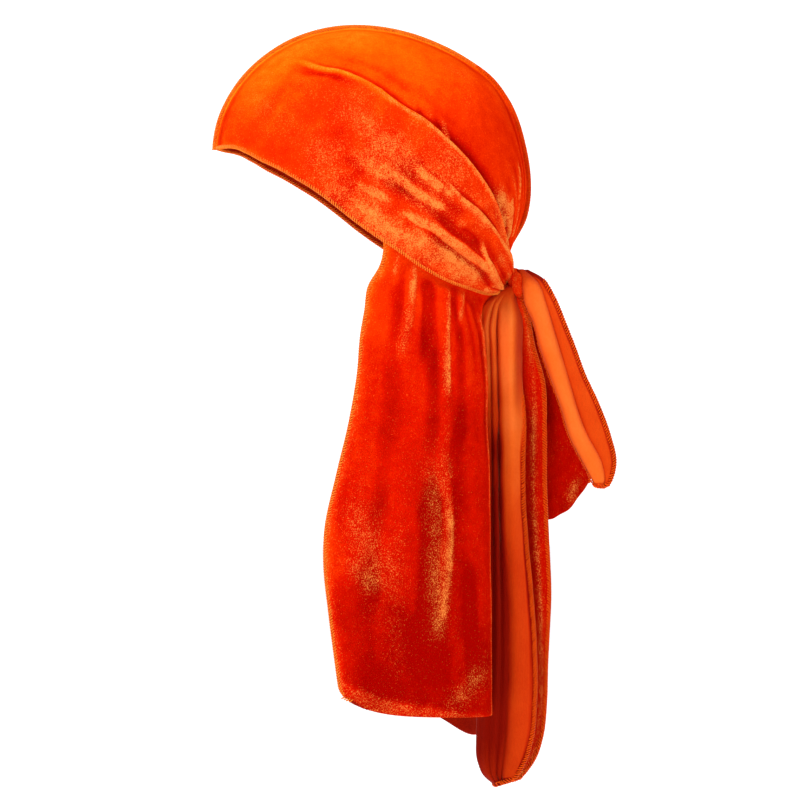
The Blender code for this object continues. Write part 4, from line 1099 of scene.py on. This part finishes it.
def makeLongEnd():
    e = longEnd
    s = np.linspace(0, 1, e["columns"])[None, :]
    d = (1 - (1 - np.linspace(0, 1, e["downRows"])) ** 1.35)[:, None] * cornered(s, e["tip"])
    fold, nearEdge, farEdge, gap, bulge, side = readRows(e["rows"], d)
    isNear = s < e["turned"]
    near = np.clip(s / e["turned"], 0, 1) * math.pi / 2
    far = np.clip((s - e["turned"]) / (1 - e["turned"]), 0, 1) * math.pi / 2
    y = np.where(isNear, nearEdge + (fold - nearEdge) * np.sin(near),
                 fold + (farEdge - fold) * (1 - np.cos(far)))
    x = np.where(isNear, np.cos(near), -np.sin(far)) * gap / 2
    x = x + bulge * bump(s, 0.22, 0.13) - 0.5 * bulge * bump(s, 0.8, 0.10)
    roll = smooth(d, 0.01, 0.08) * (1 - 0.75 * smooth(d, 0.25, 0.8))
    ridge = sum(height * bump(s, at, width) for at, height, width in e["ridges"]) * roll
    low = smooth(d, 0.45, 0.65)
    ridge = ridge - 0.022 * bump(s, 0.145, 0.018) * low
    side = side - 0.055 * (1 - smooth(d, 0.0, 0.045))
    x = x + ridge + 0.012 * np.sin(s * 26 + d * 3) * smooth(d, 0.3, 0.6) * smooth(s, 0.5, 0.6)
    # higher up the near edge is rolled under
    tucked = np.clip(1 - s / 0.10, 0, 1) * (1 - smooth(d, 0.16, 0.32))
    x, y = x - 0.060 * tucked, y - 0.030 * tucked**2
    guide = np.zeros((*d.shape, 3))
    guide[..., 0] = np.where(isNear, 1.0, -1.0)
    middle, normal = waved(hung(side + x, y, d * e["length"]), guide, e["wave"], 0.03, 12)

    napAndHighlight = 0.35 + 0.45 * ripple(middle, 0.045, 21)
    # painted light and shade on the knit: lighter at the top; darker lower down, along the turn, just under
    # the knot, in the valleys between the ridges, in the rolled-under edge, in the flap's shade, on sides
    # turned away and under the stitches
    tone = 0.96 - 0.60 * smooth(d, 0.20, 0.60) - 0.25 * bump(s, 0.45, 0.08) - 0.4 * bump(d, 0.0, 0.03)
    tone = tone - (0.75 * bump(s, 0.196, 0.012) + 0.45 * bump(s, 0.257, 0.010)) * roll - 0.45 * tucked
    shaded = smooth(s, 0.135, 0.175) * (1 - smooth(s, 0.46, 0.5)) * smooth(d, 0.14, 0.34)
    tone = tone - shaded * (0.66 - 0.30 * smooth(d, 0.85, 0.97)) - 0.3 * bump(s, 0.145, 0.012) * low
    tone = tone - 0.30 * (1 - smooth(np.abs(normal[..., 0]), 0.3, 0.9)) * (s < 0.45)
    tone = tone - 0.8 * stitchedEdge(middle, (1, 1, 0, 1)) * smooth(d, 0.25, 0.35)
    piece = clothPiece("long_end_cloth", middle, normal, tone, np.clip(napAndHighlight, 0, 1),
                       knit, velvet, "long_end")
    # the velvet strip of the far layer has a pale streak down its middle
    streak = bump(y, 0.57 * nearEdge + 0.43 * farEdge, 0.018) * (0.70 + 0.35 * ripple(middle, 0.05, 23))
    setBack(piece, 0.46 - 0.28 * smooth(d, 0.05, 0.3), np.clip(0.12 + 0.80 * streak, 0, 0.90))
    bare = e["bareRows"]
    runs = [gridEdge(middle[bare:], normal[bare:], "firstColumn"),
            gridEdge(middle, normal, "lastColumn"), gridEdge(middle, normal, "lastRow")]
    overlocked("long_end_edge_stitches", runs, band=e["band"], yarn=shadedThread)
    print("long end made")


shortEnd = {
    "columns": 64,
    "downRows": 130,
    "length": 0.141,
    "tip": 0.012,
    "up": 0.44,  # where it starts, in knot heights above the knot's middle
    "rolled": 0.55,  # share of the width that is rolled
    "bareRows": 9,
    "band": 1.35,
    "wave": 0.0004,
    # share of the drop, left, valley, right, roll, side
    "rows": [
        (0, 0, 0.045, 0.075, 0.02, 0.114), (0.03, 0.022, 0.095, 0.15, 0.034, 0.128),
        (0.05, 0.038, 0.122, 0.182, 0.042, 0.138), (0.08, 0.042, 0.148, 0.209, 0.05, 0.144),
        (0.15, 0.054, 0.182, 0.259, 0.06, 0.152), (0.243, 0.112, 0.222, 0.311, 0.068, 0.156),
        (0.367, 0.158, 0.272, 0.382, 0.072, 0.16), (0.482, 0.213, 0.317, 0.441, 0.07, 0.16),
        (0.621, 0.285, 0.376, 0.532, 0.064, 0.16), (0.759, 0.35, 0.447, 0.603, 0.055, 0.16),
        (0.897, 0.446, 0.548, 0.638, 0.042, 0.16), (0.966, 0.492, 0.564, 0.612, 0.034, 0.16),
        (1, 0.518, 0.552, 0.586, 0.028, 0.16),
    ],
}


def makeShortEnd():
    e = shortEnd
    s = np.linspace(0, 1, e["columns"])[None, :]
    t = np.linspace(0, 1, e["downRows"])
    d = (0.6 * t + 0.4 * smooth(t, 0, 1))[:, None] * cornered(s, e["tip"])
    left, valley, right, rollSize, side = readRows(e["rows"], d)
    side = side - 0.05 * (1 - smooth(d, 0.0, 0.09))
    isRolled = s < e["rolled"]
    roll, flat = np.clip(s / e["rolled"], 0, 1), np.clip((s - e["rolled"]) / (1 - e["rolled"]), 0, 1)
    swing = roll * 1.15 * math.pi - 0.15 * math.pi
    centre, radius = (left + valley) / 2, (valley - left) / 2
    y = np.where(isRolled, centre - radius * np.cos(swing),
                 centre + radius + (right - centre - radius) * flat)
    x = np.where(isRolled, rollSize * np.sin(swing), 0.25 * rollSize * np.sin(flat * math.pi))
    middle = hung(side + x, y, d * e["length"] - tie["knotHeight"] * e["up"])
    guide = np.zeros_like(middle)
    guide[..., 0] = 1.0
    middle, normal = waved(middle, guide, e["wave"], 0.025, 5)

    napAndHighlight = np.clip(0.3 + 0.4 * ripple(middle, 0.04, 22), 0, 1)
    # painted light and shade on the knit: lighter on the roll; darker on the flat part and in the valley,
    # just under the knot, on sides turned away and under the stitches
    tone = 0.87 - 0.36 * smooth(s, 0.50, 0.62) - 0.35 * bump(s, 0.56, 0.05) - 0.5 * bump(d, 0.0, 0.05)
    tone = tone - 0.25 * (1 - smooth(np.abs(normal[..., 0]), 0.2, 0.8))
    tone = tone - 0.5 * stitchedEdge(middle, (1, 1, 0, 1))
    piece = clothPiece("short_end_cloth", middle, normal, tone, napAndHighlight,
                       knit, velvet, "short_end")
    setBack(piece, 0.3, napAndHighlight)
    bare = e["bareRows"]
    runs = [gridEdge(middle[bare:], normal[bare:], edge) for edge in ("firstColumn", "lastColumn")]
    runs.append(gridEdge(middle, normal, "lastRow"))
    overlocked("short_end_edge_stitches", runs, 0.0016, e["band"], shadedThread)
    print("short end made")


bowLoop = {
    "columns": 46,
    "rounds": 190,
    "drop": 0.147,
    "down": 0.12,  # where it starts, in knot heights below the knot's middle
    "tilt": 0.17,
    "wave": 0.0006,
    "folds": 0.0011,
    # the loop's pile is deep red all over: painted shade, as it hangs behind the ends
    "tone": 0.07,
    # share of the drop, front, back, half gap, side
    "rows": [
        (0, -0.02, 0.04, 0.03, 0.156), (0.07, -0.01, 0.09, 0.05, 0.185), (0.14, 0.005, 0.14, 0.07, 0.205),
        (0.33, 0.032, 0.275, 0.1, 0.225), (0.52, 0.072, 0.395, 0.12, 0.225),
        (0.7, 0.107, 0.477, 0.12, 0.225), (0.85, 0.15, 0.5, 0.1, 0.225), (1, 0.2, 0.48, 0.06, 0.225),
    ],
}


def makeBowLoop():
    b = bowLoop
    turn = np.linspace(-1, 1, b["rounds"])[:, None]
    s = np.linspace(0, 1, b["columns"])[None, :]
    d = 1 - np.abs(turn) ** 1.6
    front, back, gap, side = readRows(b["rows"], d)
    y = front + (back - front) * s
    x = -np.sign(turn) * gap * np.minimum(1, np.abs(turn) * 4.5) ** 0.5
    middle = hung(x - side + 0 * s, y, tie["knotHeight"] * b["down"] + d * b["drop"] * (1 - b["tilt"] * s**2))
    inside = knotMiddle + np.array([-0.0225, 0.02, -0.075])
    normal = normalsOf(middle, middle - inside)
    folds = b["folds"] * np.sin(s * 15 + 1.2 * np.sin(turn * 5)) * (0.4 + 0.6 * smooth(np.abs(turn), 0.3, 1))
    middle = middle + normal * (folds + b["wave"] * ripple(middle, 0.03, 31))[..., None]
    normal = normalsOf(middle, middle - inside)
    # pale pile along its edge, and a painted sheen low in its turn
    napAndHighlight = 0.05 + 0.20 * ripple(middle, 0.035, 33) + 0.4 * bump(s, 0.03, 0.03)
    napAndHighlight = np.clip(napAndHighlight + 0.6 * bump(d, 0.93, 0.05) * bump(s, 0.62, 0.14), 0, 1)
    tone = b["tone"] + 0 * napAndHighlight
    piece = clothPiece("bow_loop_velvet", middle, normal, tone, napAndHighlight, velvet, knit, "bow_loop")
    runs = [gridEdge(middle, normal, edge) for edge in ("lastColumn", "firstColumn")]
    overlocked("bow_loop_edge_stitches", runs, yarn=shadedThread)
    print("bow loop made")


makeLongEnd()
makeShortEnd()
makeBowLoop()

knotShape = {
    "rings": 120,
    "sides": 96,
    "size": (0.031, 0.0108, 0.0225),
    "square": 2.7,
    "waist": 0.16,
    "waistWidth": 0.28,
    "lean": 0.22,
    "pleat": 0.0009,
    "pleats": 3.2,  # to a knot width
    "fields": {"tone": 0.55, "napAndHighlight": 0.38},
}


def makeKnot():
    k = knotShape
    a = np.linspace(0, math.pi, k["rings"] + 1)[:, None]
    b = np.linspace(0, 2 * math.pi, k["sides"], endpoint=False)[None, :]
    x, y, z = np.cos(a) + 0 * b, np.sin(a) * np.cos(b), np.sin(a) * np.sin(b)
    waist = 1 - k["waist"] * np.exp(-((x / k["waistWidth"]) ** 2))
    power = k["square"]
    square = (np.abs(x) ** power + np.abs(y) ** power + np.abs(z) ** power) ** (1 / power)
    size = np.array(k["size"]) / 2
    points = np.stack([x, y * waist, z * waist], -1) / square[..., None] * size
    points[..., 1] -= points[..., 2] * k["lean"]
    out = unit(points / size**2)
    pleats = np.cos(points[..., 0] / tie["knotWidth"] * 2 * math.pi * k["pleats"] + 0.9 * np.sin(2 * b))
    points = points + out * (k["pleat"] * (pleats - 0.3) * np.sin(a))[..., None]
    points = points + knotMiddle + np.array([0, 0.0006, 0.0018])
    index = np.arange(points[..., 0].size).reshape(points.shape[:2])
    faces = quadsOf(np.hstack([index, index[:, :1]]))
    data = bpy.data.meshes.new("knot_velvet")
    data.from_pydata(points.reshape(-1, 3).tolist(), [], faces.tolist())
    work = bmesh.new()
    work.from_mesh(data)
    bmesh.ops.remove_doubles(work, verts=work.verts[:], dist=1e-6)
    bmesh.ops.recalc_face_normals(work, faces=work.faces[:])
    work.to_mesh(data)
    work.free()
    data.shade_smooth()
    data.materials.append(velvet)
    for label, value in k["fields"].items():
        setField(data, label, np.full(len(data.vertices), value))
    piece = newPiece("knot_velvet", data)
    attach(piece, "root")
    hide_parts("knot")
    print("knot made")


makeKnot()

studio = {
    "floorDepth": -0.58,
    "floorRadius": 7.0,
    "surroundRadius": 9.0,
    "surroundDepth": -0.6,
    "sides": 96,
    "rings": 20,
    "paper": "#d8d8d8",
    "glow": {"floor": 0.80, "surround": 1.0},
    "world": 0.30,
    # name, place, size in metres, power in watts
    "lights": [
        ("keyLight", (1.35, -0.72, 1.15), 0.8, 32.0),
        ("rimLight", (0.3, 1.5, 0.9), 0.9, 11.7),
        ("frontLight", (-1.2, -1.6, 0.5), 1.2, 9.0),
    ],
    "sensor": 36.0,  # mm
}


def makeBackdrop():
    # a pale round floor, and a white surround that only the camera sees
    s = studio
    count, rings, far = s["sides"], s["rings"], s["surroundRadius"]
    ways = [(math.cos(t), math.sin(t)) for t in np.linspace(0, 2 * math.pi, count, endpoint=False)]
    floorRim = [(s["floorRadius"] * x, s["floorRadius"] * y, s["floorDepth"]) for x, y in ways]
    shell = [(far * math.cos(h) * x, far * math.cos(h) * y, far * math.sin(h) + s["surroundDepth"])
             for h in np.linspace(-0.35, math.pi / 2 - 0.02, rings) for x, y in ways]
    index = np.arange(rings * count).reshape(rings, count)
    index = np.hstack([index, index[:, :1]])
    shellFaces = np.stack([index[:-1, :-1], index[:-1, 1:], index[1:, 1:], index[1:, :-1]], -1)
    shellFaces = shellFaces.reshape(-1, 4).tolist() + [index[-1, :-1].tolist()]
    for name, points, faces in (("floor", floorRim, [list(range(count))]), ("surround", shell, shellFaces)):
        data = bpy.data.meshes.new(name)
        data.from_pydata(points, [], faces)
        material, tree, shader = newMaterial(name + "Paper")
        setInputs(tree, shader, {
            "Base Color": linear(s["paper"]), "Roughness": 1.0, "Specular IOR Level": 0.0,
            "Emission Color": (1, 1, 1, 1), "Emission Strength": s["glow"][name]})
        data.materials.append(material)
        stage = newPiece(name, data)
        if name == "surround":
            stage.visible_diffuse = stage.visible_glossy = stage.visible_shadow = False


def makeStudio():
    makeBackdrop()
    world = bpy.data.worlds.new("softWhite")
    world.use_nodes = True
    background = world.node_tree.nodes["Background"]
    setInputs(world.node_tree, background, {"Color": (1, 1, 1, 1), "Strength": studio["world"]})
    bpy.context.scene.world = world
    aim = Vector((0, sideView["aimY"], sideView["aimZ"]))
    for name, place, size, power in studio["lights"]:
        light = bpy.data.lights.new(name, "AREA")
        light.shape, light.size, light.energy = "DISK", size, power
        lamp = newPiece(name, light)
        lamp.location = place
        lamp.rotation_euler = (aim - Vector(place)).to_track_quat("-Z", "Y").to_euler()
    camera = bpy.data.cameras.new("camera")
    camera.sensor_width = studio["sensor"]
    camera.lens = studio["sensor"] * sideView["away"] / sideView["frame"]
    camera.clip_start, camera.clip_end = 0.05, 20.0
    seen = newPiece("camera", camera)
    seen.location = (sideView["away"], sideView["aimY"], sideView["aimZ"])
    seen.rotation_euler = (math.pi / 2, 0, math.pi / 2)
    bpy.context.scene.camera = seen
    bpy.context.scene.view_settings.view_transform = "Standard"
    print("studio made")


makeStudio()
